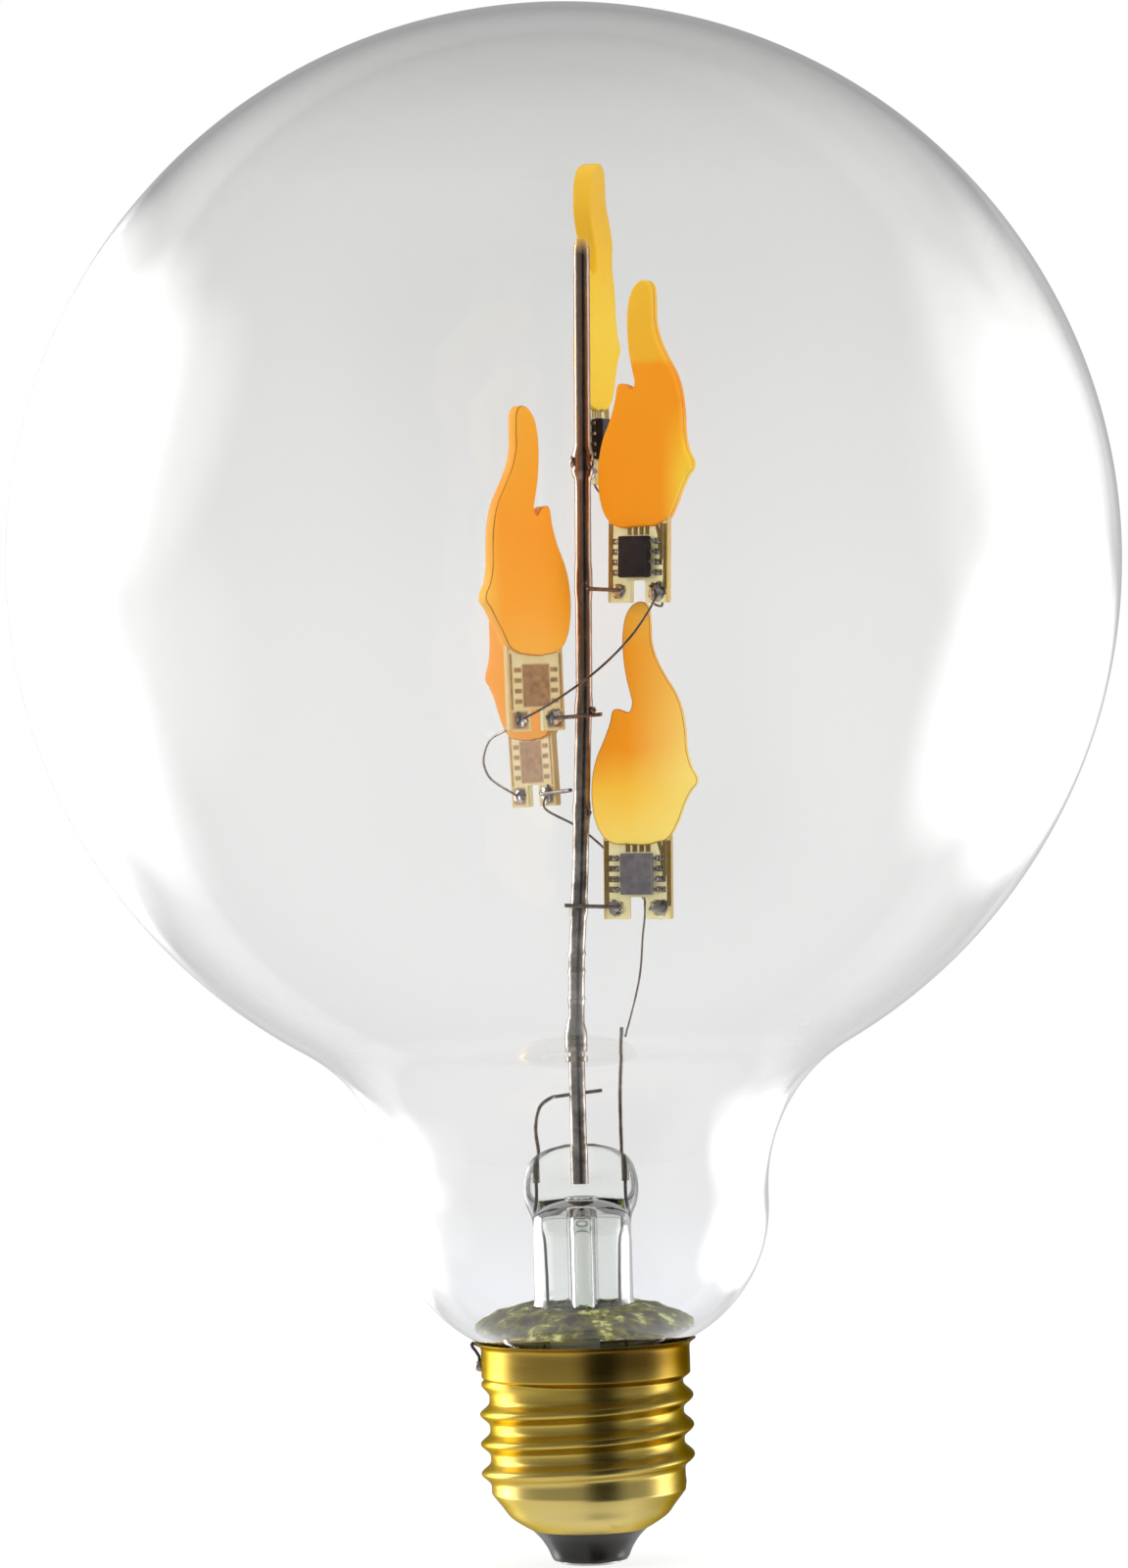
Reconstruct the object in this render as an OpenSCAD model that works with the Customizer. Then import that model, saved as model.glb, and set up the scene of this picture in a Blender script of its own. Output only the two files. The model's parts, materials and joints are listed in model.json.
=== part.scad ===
// Flame effect LED bulb with a clear globe and an E27 screw cap.
// The foot of the centre contact is at z = 0, the lamp axis is +Z and the globe is at the top.
// Five flame boards stand round a support rod, each with its own driver chip.
// All lengths are in millimetres.

/* [Globe glass] */
// outside diameter of the globe
globe_d = 136.2; // [128:0.1:142]
// wall of the blown glass
glass_wall = 0.8; // [0.5:0.05:1.2]
// outside diameter of the neck at its straight part
neck_d = 45.9; // [43:0.1:49]
// straight length of the neck
neck_straight = 2; // [1:0.1:6]
// radius of the hollow curve between neck and globe
throat_r = 20.5; // [15:0.5:26]
// radius of the rounded shoulder that closes the neck
shoulder_r = 18; // [16:0.5:20]
// radius where the shoulder turns down into the cap
seal_fillet_r = 1.2; // [0.9:0.1:1.5]

/* [Screw cap] */
// height of the threaded part of the shell
thread_h = 14.2; // [13.6:0.1:15.2]
// height of the plain skirt above the thread
skirt_h = 4.2; // [3.6:0.1:5]
// diameter over the thread crests
crest_d = 26.2; // [26:0.01:26.5]
// diameter between the thread crests
root_d = 23.8; // [23.6:0.1:24.3]
// pitch of the thread
thread_pitch = 3.629; // [3.4:0.001:3.8]
// drop from the skirt to the first thread crest on the +X side
thread_drop = 2.8; // [2.4:0.1:3.2]
// turns of the thread
thread_turns = 3.65; // [3:0.05:3.8]
// outside diameter of the plain skirt
skirt_d = 25.6; // [25.2:0.1:25.9]
// height of the flare at the rim
rim_flare_h = 0.8; // [0.5:0.1:1.2]
// how far the rim flares past the skirt
rim_flare = 0.75; // [0.4:0.05:1]
// sheet of the brass shell
shell_wall = 0.35; // [0.25:0.05:0.5]
// width of the cement ring between glass and skirt
cement_w = 1.15; // [1.1:0.05:1.4]
// diameter of the centre contact
contact_d = 7.6; // [6.5:0.1:9]
// thickness of the centre contact
contact_t = 0.7; // [0.5:0.1:1]

/* [Glass stem] */
// outside diameter of the stem tube
stem_d = 12.1; // [11.6:0.1:12.6]
// wall of the stem tube
stem_wall = 0.7; // [0.5:0.05:0.9]
// height of the tube above the cap rim where the flare starts
stem_flare_rise = 5.6; // [5:0.1:7]
// straight length of the stem tube
stem_len = 8; // [7:0.1:10]
// height of the pressed seal above the tube
press_h = 10.6; // [9.5:0.1:11.5]
// widest part of the pressed seal
press_w = 14; // [13.4:0.1:15]
// thickness of the pressed seal
press_t = 6.2; // [5.6:0.1:8]
// outside diameter of the exhaust tube
exhaust_d = 3.7; // [3.2:0.1:4.2]
// bore of the exhaust tube
exhaust_bore = 2.1; // [1.6:0.1:2.5]

/* [Support rod] */
// diameter of the support rod
rod_d = 2; // [1.6:0.1:2.4]
// height of the joint in the rod above the pressed seal
rod_joint_h = 11.3; // [10:0.1:12]
// height of the top of the rod above the pressed seal
rod_top_h = 110.4; // [107:0.1:113]
// diameter of the crimped sleeve
sleeve_d = 2.8; // [2.6:0.1:3.6]
// length of the crimped sleeve
sleeve_len = 2.1; // [1.5:0.1:3]

/* [Flame boards] */
// height of each glowing flame, highest flame first
flame_h = [29.9, 30.1, 30.4, 30.8, 29.7];
// width of the glowing flame
flame_w = 13.4; // [12.4:0.1:14]
// thickness of the glowing flame
flame_t = 1.8; // [1.6:0.1:2.4]
// width of the circuit board
board_w = 8.5; // [8:0.05:9.2]
// bare height of each circuit board below its flame
board_h = [9.1, 9.1, 9.2, 8.2, 9.1];
// thickness of the circuit board
board_t = 0.8; // [0.6:0.05:1.2]
// width of the notch between the two prongs
notch_w = 2; // [1.4:0.1:2.6]
// height of the notch
notch_h = 2.7; // [2:0.1:3]
// distance from the rod to the middle of each board
board_reach = [6.63, 8.0, 7.3, 8.6, 7.5];
// how far each board stands to the back of a line through the rod
board_side = [1, 0, 0, 0, 0];
// compass angle of each flame round the rod, highest flame first
flame_turn = [68, -32, 218, 130, -10];
// lean of each flame
flame_lean = [0.3, 1.9, -0.8, -2.3, 1.0];
// height of the foot of each board above the pressed seal
board_rise = [80.7, 65.7, 50.4, 41.15, 27.1];

/* [Chips] */
// width of a chip body
chip_w = 4; // [3.6:0.05:4.1]
// length of a chip body
chip_len = 5.1; // [4.7:0.05:5.1]
// height of the foot of a chip above the foot of its board
chip_foot = 3; // [2.9:0.05:3.05]
// height of a chip body
chip_t = 1.5; // [1.2:0.05:1.75]
// pitch of the chip's legs
leg_pitch = 1.27; // [1.2:0.01:1.27]
// width over the chip's legs
leg_span = 6; // [5.6:0.05:6.2]
// width of a chip leg
leg_w = 0.41; // [0.3:0.01:0.5]

/* [Wires] */
// diameter of the lead-in wires
lead_d = 0.5; // [0.4:0.05:0.7]
// diameter of the sealing sleeves in the press
seal_d = 0.9; // [0.8:0.05:1.2]
// diameter of the leads under the press
outer_lead_d = 0.4; // [0.3:0.05:0.5]
// spacing of the two leads in the press
lead_spacing = 10.2; // [9.6:0.1:10.6]
// diameter of the thin wires between the flame boards
jumper_d = 0.3; // [0.2:0.02:0.4]
// diameter of the short arms that hold the boards to the rod
arm_d = 0.5; // [0.4:0.05:0.7]
// how far each arm runs past the rod, nothing where it ends at the rod
arm_past = [0.9, 0, 0.9, 0, 0.4];

/* [Driver in the cap] */
// width of the driver board
driver_w = 15; // [13:0.1:17]
// height of the foot of the driver board above the contact
driver_z = 10; // [9:0.1:11]
// gap between the skirt and the wide part of the driver board
driver_drop = 2.2; // [1.6:0.1:3]
// thickness of the driver board
driver_t = 1; // [0.8:0.1:1.6]
// gap between the exhaust tube and the driver board
driver_gap = 0.5; // [0.3:0.1:1]
// diameter of the smoothing capacitor
capacitor_d = 7; // [5:0.1:8]
// gap between the smoothing capacitor and the tip of the exhaust tube
capacitor_gap = 0.15; // [0.1:0.05:2]
// diameter of the fuse resistor
resistor_d = 2.4; // [1.8:0.1:3]
// length of the fuse resistor
resistor_len = 6.3; // [5:0.1:7]

/* [Hidden] */
$fn = 48;
eps = 0.01;
globe_r = globe_d / 2;
neck_r = neck_d / 2;
rod_r = rod_d / 2;
stem_r = stem_d / 2;
skirt_r = skirt_d / 2;
root_r = root_d / 2;
crest_r = crest_d / 2;
contact_r = contact_d / 2;
seat_gap = 0.05;
thread_foot_z = 9;
skirt_z = thread_foot_z + thread_h;
cap_h = skirt_z + skirt_h;
thread_top_z = skirt_z - thread_drop;
driver_h = skirt_z - driver_drop - driver_z;

// the shoulder rests just over the rim of the cap
rim_r = skirt_r + rim_flare;
rim_in_r = rim_r - 1.3 * shell_wall;
skirt_in_r = skirt_r - shell_wall;
shoulder_x = neck_r - shoulder_r;
shoulder_z = cap_h + seat_gap + sqrt(pow(shoulder_r, 2) - pow(rim_in_r - shoulder_x, 2));
throat_z = shoulder_z + neck_straight;
globe_z = throat_z + sqrt(pow(globe_r + throat_r, 2) - pow(neck_r + throat_r, 2));

// the end of the neck sits in the cement ring
neck_end_r = skirt_in_r - cement_w;
neck_end_z = skirt_z + 0.4;
fillet_x = neck_end_r + seal_fillet_r;
fillet_z = shoulder_z - sqrt(pow(shoulder_r + seal_fillet_r, 2) - pow(fillet_x - shoulder_x, 2));

// the flare of the stem ends inside the end of the neck
flare_r = neck_end_r - glass_wall;
flare_z = cap_h + stem_flare_rise;
flare_curve_r = 5;
flare_turn_r = 3.2;
flare_foot_z = flare_z - sqrt(pow(flare_curve_r + flare_turn_r, 2)
                              - pow(stem_r + flare_curve_r - flare_r + flare_turn_r, 2));
press_z = flare_z + stem_len;
press_top_z = press_z + press_h;

// wires in the press
lead_x = lead_spacing / 2;
seal_low_z = press_z + 0.55 * press_h;
seal_high_z = press_z + 0.85 * press_h;
rod_x0 = -0.1;
rod_foot_z = press_z + 5.6;
rod_joint_z = press_top_z + rod_joint_h;
rod_top_z = press_top_z + rod_top_h;
board_foot_z = [for (h = board_rise) press_top_z + h];

// the rod leans a little, as it was set in the glass
rod_line = [[rod_joint_z, rod_x0], [press_top_z + 22.4, 0.25], [press_top_z + 32.4, 0.95],
            [press_top_z + 55.4, 2.05], [press_top_z + 82.4, 2.6], [rod_top_z, 3.2]];
function rod_x(z) = lookup(z, rod_line);

// a flame board's frame: x runs outward from the rod, -y is the chip side, z starts at the foot
function about_z(p, a) = [p[0] * cos(a) - p[1] * sin(a), p[0] * sin(a) + p[1] * cos(a), p[2]];
function about_y(p, a) = [p[0] * cos(a) + p[2] * sin(a), p[1], p[2] * cos(a) - p[0] * sin(a)];
function foot(k) = [rod_x(board_foot_z[k]), 0, board_foot_z[k]]
                   + about_z([board_reach[k], board_side[k], 0], flame_turn[k]);
function on_flame(k, p) = foot(k) + about_y(about_z(p, flame_turn[k]), flame_lean[k]);
module at_flame(k) translate(foot(k)) rotate([0, flame_lean[k], 0])
    rotate([0, 0, flame_turn[k]]) children();

root_lap = 1.3;
tongue_w = 2;
tongue_x = 1.3;
tongue_top = 22;
prong_x = (board_w + notch_w) / 4;
pad_z = 1.5;
pad_r = 1.1;
pad_t = 0.3;
arm_side = [-1, -1, 1, 1, -1];
jumper_r = jumper_d / 2;
jumper_lift = board_t / 2 + pad_t + jumper_r + 0.03;
driver_y = -(exhaust_d / 2 + driver_gap + driver_t);
driver_back = driver_y + driver_t;

// straight round bar between two points
module bar(p, q, r) {
    v = q - p;
    translate(p) rotate([0, acos(v[2] / norm(v)), atan2(v[1], v[0])])
        cylinder(r = r, h = norm(v), $fn = 20);
}

// smooth open path through a list of points
function path(pts, cuts) = let (m = len(pts)) concat([for (i = [0 : m - 2]) for (s = [0 : cuts - 1])
    let (t = s / cuts, a = pts[max(0, i - 1)], b = pts[i], c = pts[i + 1], d = pts[min(m - 1, i + 2)])
    0.5 * (2 * b + (c - a) * t + (2 * a - 5 * b + 4 * c - d) * t * t
           + (3 * b - a - 3 * c + d) * t * t * t)], [pts[m - 1]]);
function unit(v) = v / norm(v);
function heading(p, i) = unit(p[min(len(p) - 1, i + 1)] - p[max(0, i - 1)]);
function square_to(v, t) = unit(v - (v * t) * t);

// round wire that bends smoothly through a list of points
module wire(pts, r, cuts = 2) {
    p = path(pts, cuts);
    sides = [for (i = 0, n = square_to([0.3, 1, 0.2], heading(p, 0)); i < len(p); i = i + 1,
              n = i < len(p) ? square_to(n, heading(p, i)) : n) n];
    loft([for (i = [0 : len(p) - 1]) let (b = cross(heading(p, i), sides[i]))
        [for (a = [0 : 45 : 315]) p[i] + r * (cos(a) * sides[i] + sin(a) * b)]]);
}

// closed solid through equal rings of points
module loft(rings) {
    n = len(rings[0]);
    m = len(rings);
    polyhedron(
        points = [for (ring = rings) for (p = ring) p],
        faces = concat(
            [[for (j = [0 : n - 1]) j]],
            [for (i = [0 : m - 2]) for (j = [0 : n - 1])
                [i * n + j, (i + 1) * n + j, (i + 1) * n + (j + 1) % n, i * n + (j + 1) % n]],
            [[for (j = [n - 1 : -1 : 0]) (m - 1) * n + j]]),
        convexity = 6);
}

// smooth closed curve through a list of points, with extra points between them
function curve(pts, cuts) = [for (i = [0 : len(pts) - 1]) for (s = [0 : cuts - 1])
    let (n = len(pts), t = s / cuts,
         a = pts[(i + n - 1) % n], b = pts[i], c = pts[(i + 1) % n], d = pts[(i + 2) % n])
    0.5 * (2 * b + (c - a) * t + (2 * a - 5 * b + 4 * c - d) * t * t
           + (3 * b - a - 3 * c + d) * t * t * t)];

// the same curve moved inward
function inset(pts, w) = [for (i = [0 : len(pts) - 1])
    let (n = len(pts), d = pts[(i + 1) % n] - pts[(i + n - 1) % n])
    pts[i] + w * [-d[1], d[0]] / norm(d)];

function ease(t) = let (s = min(1, max(0, t))) s * s * (3 - 2 * s);

// points on an arc round a centre
function arc(x, z, r, from, to, n) = [for (i = [0 : n]) let (a = from + (to - from) * i / n)
    [x + r * cos(a), z + r * sin(a)]];

// the blown glass from its top to the end of the neck, moved inward by w
function glass_line(w) = let (
    a = atan2(throat_z - globe_z, neck_r + throat_r),
    b = atan2(fillet_z - shoulder_z, fillet_x - shoulder_x))
    concat(arc(0, globe_z, globe_r - w, 90, a, 50),
           arc(neck_r + throat_r, throat_z, throat_r + w, a + 180, 180, 12),
           arc(shoulder_x, shoulder_z, shoulder_r - w, 0, b, 14),
           arc(fillet_x, fillet_z, seal_fillet_r + w, b + 180, 180, 5),
           [[neck_end_r - w, neck_end_z]]);
function backward(v) = [for (i = [len(v) - 1 : -1 : 0]) v[i]];

// the globe, neck and rounded shoulder are one blown piece
module glass_envelope() color([0.9, 0.93, 0.94, 0.25]) rotate_extrude($fn = 96)
    polygon(concat(glass_line(0), backward(glass_line(glass_wall))));

// half section of the stem's tube and flare, moved inward by w
module stem_section(w) difference() {
    union() {
        translate([0, flare_z]) square([stem_r - w, stem_len + 20 * w]);
        difference() {
            polygon([[0, flare_z], [stem_r + flare_curve_r, flare_z],
                     [flare_r - flare_turn_r, flare_foot_z], [0, flare_foot_z]]);
            translate([stem_r + flare_curve_r, flare_z]) circle(r = flare_curve_r + w);
        }
        intersection() {
            translate([flare_r - flare_turn_r, flare_foot_z]) circle(r = flare_turn_r - w);
            translate([0, flare_foot_z]) square([flare_r, flare_curve_r]);
        }
        translate([0, neck_end_z - 5 * w]) square([flare_r - w, flare_foot_z - neck_end_z + 5 * w + eps]);
    }
    translate([-50, 0]) square([50, 200]);
}

// the pressed seal, from the round tube to a flat rounded block: [height share, width, thickness]
press_steps = [[0, stem_d - 0.1, stem_d - 0.1], [0.1, stem_d - 0.1, stem_d - 0.4],
               [0.2, stem_d + 0.3, 0.8 * stem_d], [0.32, press_w - 0.5, press_t + 1.4],
               [0.44, press_w, press_t + 0.2], [0.56, press_w, press_t],
               [0.68, press_w - 0.5, press_t], [0.79, press_w - 1.4, press_t - 0.3],
               [0.88, press_w - 3.2, press_t - 1], [0.95, press_w - 6.2, press_t - 2.4],
               [1, press_w - 10.5, press_t - 4.6]];
bore_steps = [[-0.03, 2 * (stem_r - stem_wall) + 0.1, 2 * (stem_r - stem_wall) + 0.1],
              [0.06, 2 * (stem_r - stem_wall) + 0.05, 0.86 * stem_d],
              [0.14, 2 * (stem_r - stem_wall) - 0.4, 0.7 * stem_d],
              [0.22, 0.8 * stem_d, 0.48 * stem_d], [0.29, 0.6 * stem_d, 0.3 * stem_d],
              [0.34, 0.3 * stem_d, 0.14 * stem_d]];
function oval(s, n) = [for (j = [0 : n - 1]) let (a = 360 * j / n)
    [s[1] / 2 * cos(a), s[2] / 2 * sin(a), press_z - 0.6 + s[0] * (press_h + 0.6)]];

module stem_glass() color([0.88, 0.92, 0.92, 0.3]) difference() {
    union() {
        rotate_extrude() stem_section(0);
        loft([for (s = press_steps) oval(s, 44)]);
    }
    rotate_extrude() stem_section(stem_wall);
    loft([for (s = bore_steps) oval(s, 44)]);
    exhaust_body();
    bar([rod_x0, 0, rod_foot_z], [rod_x0, 0, press_top_z + 1], rod_r);
    for (s = [-1, 1]) {
        bar([s * lead_x, 0, seal_low_z], [s * lead_x, 0, seal_high_z], seal_d / 2);
        bar([s * lead_x, 0, seal_high_z - eps], [s * lead_x, 0, press_top_z + 1], lead_d / 2 + 0.05);
        wire(outer_lead_path(s), outer_lead_d / 2 + 0.03);
    }
}

exhaust_top_z = press_z + 0.36 * press_h;
exhaust_tip_z = skirt_z - 1.2;
module exhaust_body() translate([0, 0, exhaust_tip_z]) {
    cylinder(r = exhaust_d / 2, h = exhaust_top_z - exhaust_tip_z);
    sphere(r = exhaust_d / 2);
}

// the tube the bulb was emptied and filled through, sealed at its foot
module exhaust_tube() color([0.88, 0.92, 0.92, 0.3]) difference() {
    exhaust_body();
    translate([0, 0, exhaust_tip_z]) cylinder(r = exhaust_bore / 2, h = exhaust_top_z - exhaust_tip_z - 1.6);
    translate([0, 0, exhaust_tip_z]) sphere(r = exhaust_bore / 2);
    translate([0, 0, exhaust_top_z - 2.3]) rotate([90, 0, 0]) cylinder(r = 0.7, h = exhaust_d);
}

module rod_lower() color([0.45, 0.38, 0.33])
    bar([rod_x0, 0, rod_foot_z], [rod_x0, 0, rod_joint_z], rod_r);

module rod_sleeve() color([0.5, 0.42, 0.36]) difference() {
    translate([rod_x0, 0, rod_joint_z]) rotate_extrude() polygon([[0, 0], [sleeve_d / 2 - 0.15, 0],
        [sleeve_d / 2, 0.2], [sleeve_d / 2, sleeve_len], [rod_r, sleeve_len + 1.7], [0, sleeve_len + 1.7]]);
    translate([rod_x0, 0, rod_joint_z - 1]) cylinder(r = rod_r + 0.15, h = sleeve_len + 4);
}

rod_rings = 20;
module rod_upper() color([0.42, 0.35, 0.31]) {
    loft([for (i = [0 : rod_rings]) let (z = rod_joint_z + (rod_top_z - rod_joint_z) * i / rod_rings)
        [for (a = [0 : 12 : 348]) [rod_x(z) + rod_r * cos(a), rod_r * sin(a), z]]]);
    for (h = [6.1, 9.6, 11.7]) let (z = rod_joint_z + h) translate([rod_x(z), 0, z]) cylinder(r = rod_r + 0.09, h = 0.25);
}

// leads through the press
module seal(s) color([0.6, 0.35, 0.25])
    bar([s * lead_x, 0, seal_low_z], [s * lead_x, 0, seal_high_z], seal_d / 2);
module seal_left() seal(-1);
module seal_right() seal(1);

lead_y = rod_r + lead_d / 2;
module lead_in_left() color([0.55, 0.5, 0.46])
    wire([[-lead_x, 0, seal_high_z], [-lead_x, 0, press_top_z - 0.6], [-lead_x - 0.25, 0, press_top_z + 2.2],
          [-lead_x + 0.3, 0.15, press_top_z + 4.8], [-3.5, 0.6, press_top_z + 6],
          [-2.2, lead_y, press_top_z + 6.3], [2.85, lead_y, press_top_z + 6.9]], lead_d / 2);
lead_right_top = [lead_x + 0.4, 0, press_top_z + 13.8];
module lead_in_right() color([0.55, 0.5, 0.46])
    wire([[lead_x, 0, seal_high_z], [lead_x, 0, press_top_z + 6.5], lead_right_top], lead_d / 2);

// thin leads from the press down to the driver board
function outer_lead_path(s) = [[s * lead_x, 0, seal_low_z], [s * (lead_x - 0.1), 0, press_z + 2],
    [s * (stem_r - stem_wall - 0.75), 0, press_z - 2], [s * 4.4, -0.4, flare_z - 1],
    [s * 4.6, -1.2, flare_z - 3.6], [s * 5.3, driver_back + outer_lead_d / 2 + 0.03, skirt_z + 1],
    [s * 5.3, driver_back + outer_lead_d / 2 + 0.03, driver_z + driver_h - 2.5]];
module outer_lead_left() color([0.12, 0.1, 0.1]) wire(outer_lead_path(-1), outer_lead_d / 2);
module outer_lead_right() color([0.12, 0.1, 0.1]) wire(outer_lead_path(1), outer_lead_d / 2);

// one circuit board: two prongs below, a tongue inside the flame above
module board_solid(k) {
    difference() {
        translate([-board_w / 2, -board_t / 2, 0]) cube([board_w, board_t, board_h[k] + root_lap]);
        translate([-notch_w / 2, -board_t, -1]) cube([notch_w, 2 * board_t, notch_h + 1]);
    }
    translate([tongue_x - tongue_w / 2, -board_t / 2, board_h[k] + root_lap - eps])
        cube([tongue_w, board_t, tongue_top - root_lap]);
}
module board(k) color([0.93, 0.88, 0.62]) at_flame(k) board_solid(k);

// outline of the flame on a 13.4 by 30.1 field, from the tip down its left side
flame_points = [[0.3, 30.1], [-0.7, 29.6], [-1.35, 28.2], [-1.6, 25.8], [-1.5, 23], [-1.15, 20.6],
    [-0.75, 18.9], [-0.5, 17.6], [-0.85, 16.9], [-1.6, 17.05], [-2.4, 17.3],
    [-2.95, 16.95], [-3.25, 15.6], [-3.95, 13.2], [-4.95, 10.8], [-5.5, 8.4],
    [-5.6, 5.6], [-5.2, 3], [-4.3, 1.15], [-2.9, 0.2], [-0.2, 0], [2.6, 0.25],
    [4.1, 1.1], [5.15, 3], [6, 5.3], [6.8, 6.75], [7.4, 7.5], [7.4, 8.4], [6.7, 9.7],
    [6.2, 11.8], [6.05, 14], [5.65, 16.6], [4.9, 18.7], [3.7, 20.7], [2.6, 22.8],
    [1.95, 25], [1.8, 27.2], [1.4, 29.2]];
function flame_curve(k) = [for (p = curve(flame_points, 2)) [p[0] * flame_w / 13.4, p[1] * flame_h[k] / 30.1]];
// how the rim of the flame rounds over: [share of half the thickness, way inward]
flame_rim = [[1, 0.3], [0.86, 0.09], [0.6, 0], [-0.6, 0], [-0.86, 0.09], [-1, 0.3]];
// the curve's points where the upper tongue of the flame leaves its body, on the left and on the right
tongue_left = 14;
tongue_right = 64;
body_centre = [0.5, 9 / 30.1];
tongue_centre = [0.3, 22 / 30.1];
// closed solid through the rings of a flame, each flat face laid out in fans round two points inside it
module flame_loft(k, rings) {
    n = len(rings[0]);
    m = len(rings);
    c = m * n;
    back = (m - 1) * n;
    body = concat([for (j = [tongue_left : tongue_right - 1]) [j, j + 1]], [[tongue_right, tongue_left]]);
    tongue = concat([for (j = [tongue_right : n + tongue_left - 1]) [j % n, (j + 1) % n]],
                    [[tongue_left, tongue_right]]);
    polyhedron(
        points = concat([for (ring = rings) for (p = ring) p],
            [for (i = [0, m - 1]) for (q = [body_centre, tongue_centre])
                [q[0], rings[i][0][1], q[1] * flame_h[k]]]),
        faces = concat(
            [for (e = body) [c, e[0], e[1]]],
            [for (e = tongue) [c + 1, e[0], e[1]]],
            [for (i = [0 : m - 2]) for (j = [0 : n - 1])
                [i * n + j, (i + 1) * n + j, (i + 1) * n + (j + 1) % n, i * n + (j + 1) % n]],
            [for (e = body) [c + 2, back + e[1], back + e[0]]],
            [for (e = tongue) [c + 3, back + e[1], back + e[0]]]),
        convexity = 6);
}
module flame(k) color([0.95, 0.62, 0.15]) at_flame(k) difference() {
    translate([0, 0, board_h[k]]) flame_loft(k, [for (r = flame_rim)
        [for (p = inset(flame_curve(k), r[1])) [p[0], flame_t / 2 * r[0], p[1]]]]);
    board_solid(k);
}

// driver chip of one flame, on the chip side of its board
chip_lift = 0.1;
module chip(k) color([0.16, 0.13, 0.13]) at_flame(k) {
    y = -board_t / 2 - chip_lift;
    difference() {
        translate([-chip_w / 2, y - chip_t, chip_foot]) cube([chip_w, chip_t, chip_len]);
        translate([-chip_w / 2 + 0.8, y - chip_t - 0.01, chip_foot + chip_len - 0.8])
            rotate([-90, 0, 0]) cylinder(r = 0.4, h = 0.12);
    }
}

// one bent leg of a chip, seen along the board
module leg() translate([0, 0, -leg_w / 2]) linear_extrude(leg_w)
    polygon([[chip_w / 2, -0.75], [chip_w / 2 + 0.45, -0.75], [chip_w / 2 + 0.6, -0.2],
             [leg_span / 2, -0.2], [leg_span / 2, 0], [chip_w / 2 + 0.42, 0],
             [chip_w / 2 + 0.3, -0.55], [chip_w / 2, -0.55]]);

// chip legs, solder pads and printed tracks of one board
track_t = 0.06;
module track(x0, z0, x1, z1, w = 0.32) translate([min(x0, x1) - w / 2, -board_t / 2 - track_t,
    min(z0, z1) - w / 2]) cube([abs(x1 - x0) + w, track_t, abs(z1 - z0) + w]);
module contacts(k) color([0.75, 0.72, 0.66]) at_flame(k) {
    for (s = [-1, 1], i = [0 : 3]) translate([0, -board_t / 2,
        chip_foot + chip_len / 2 + (i - 1.5) * leg_pitch]) mirror([s < 0 ? 1 : 0, 0, 0]) leg();
    for (s = [-1, 1], f = [-1, 1]) translate([s * prong_x, f * board_t / 2, pad_z])
        rotate([f * -90, 0, 0]) cylinder(r1 = pad_r, r2 = 0.6 * pad_r, h = pad_t);
    track(board_w / 2 - 0.5, pad_z + 1, board_w / 2 - 0.5, board_h[k] - 0.6);
    track(-board_w / 2 + 0.6, pad_z + 1.3, -board_w / 2 + 0.6, chip_foot + 0.6, 0.6);
}

// short arm from the inner prong to the side of the rod, welded to it, and mostly running on past it
arm_lift = board_t / 2 + pad_t + arm_d / 2 + 0.06;
arm_x = -prong_x + 0.4;
function beside_rod(k) = let (r = rod_r + arm_d / 2 - 0.01) arm_past[k] > 0
    ? [-board_reach[k], -board_side[k] + arm_side[k] * r]
    : [-board_reach[k] + 0.8 * r, -board_side[k] + arm_side[k] * 0.6 * r];
function arm_tip(k) = let (b = beside_rod(k), v = b - [arm_x, arm_side[k] * arm_lift])
    arm_past[k] > 0 ? b + (rod_r + arm_past[k]) * v / norm(v) : b;
module arm(k) color([0.5, 0.43, 0.37]) difference() {
    bar(on_flame(k, [arm_tip(k)[0], arm_tip(k)[1], pad_z + 0.25]),
        on_flame(k, [arm_x, arm_side[k] * arm_lift, pad_z]), arm_d / 2);
    translate([rod_x(board_foot_z[k] + pad_z), 0, board_foot_z[k] - 2]) cylinder(r = rod_r + 0.03, h = 8);
}

// where a jumper ends on a board: x and z on its face, f is the side
function on_face(k, x, f, z) = on_flame(k, [x, f * jumper_lift, z]);
function above_press(x, y, z) = [x, y, press_top_z + z];
path_feed = [lead_right_top + [(lead_d + jumper_d) / 2 + 0.05, 0, -1.1], above_press(7.8, -0.5, 19.6),
             above_press(8.4, -0.3, 25), on_flame(4, [0.65, board_t / 2 + jumper_r + 0.03, 0.4]),
             on_flame(4, [0.65, board_t / 2 + jumper_r + 0.03, notch_h + 0.8])];
path_a_b = [on_face(0, prong_x, 1, pad_z), on_face(0, prong_x, 1, -0.4), above_press(7.9, 6.4, 76),
            above_press(10.6, 2, 70), above_press(10.2, -1.8, 66.4), on_face(1, prong_x, 1, -0.4),
            on_face(1, prong_x, 1, pad_z)];
path_b_c = [on_face(1, prong_x, -1, pad_z), on_face(1, prong_x, -1, 0.2), above_press(8.8, -6.4, 62.7),
            above_press(6.3, -6.1, 59.9), above_press(3.2, -5.8, 57.2), above_press(-0.6, -5.9, 54.6),
            above_press(-2.9, -6.3, 53.2), on_face(2, prong_x, 1, pad_z)];
path_c_d = [on_face(2, prong_x, -1, pad_z), on_flame(2, [prong_x + 1, -jumper_lift - 0.3, 0.3]),
            above_press(-9.6, -2.6, 49.5),
            above_press(-10.5, 0, 47.2), above_press(-10.1, 3, 45.3), above_press(-9, 5.2, 44.1),
            on_face(3, prong_x, 1, pad_z)];
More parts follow.
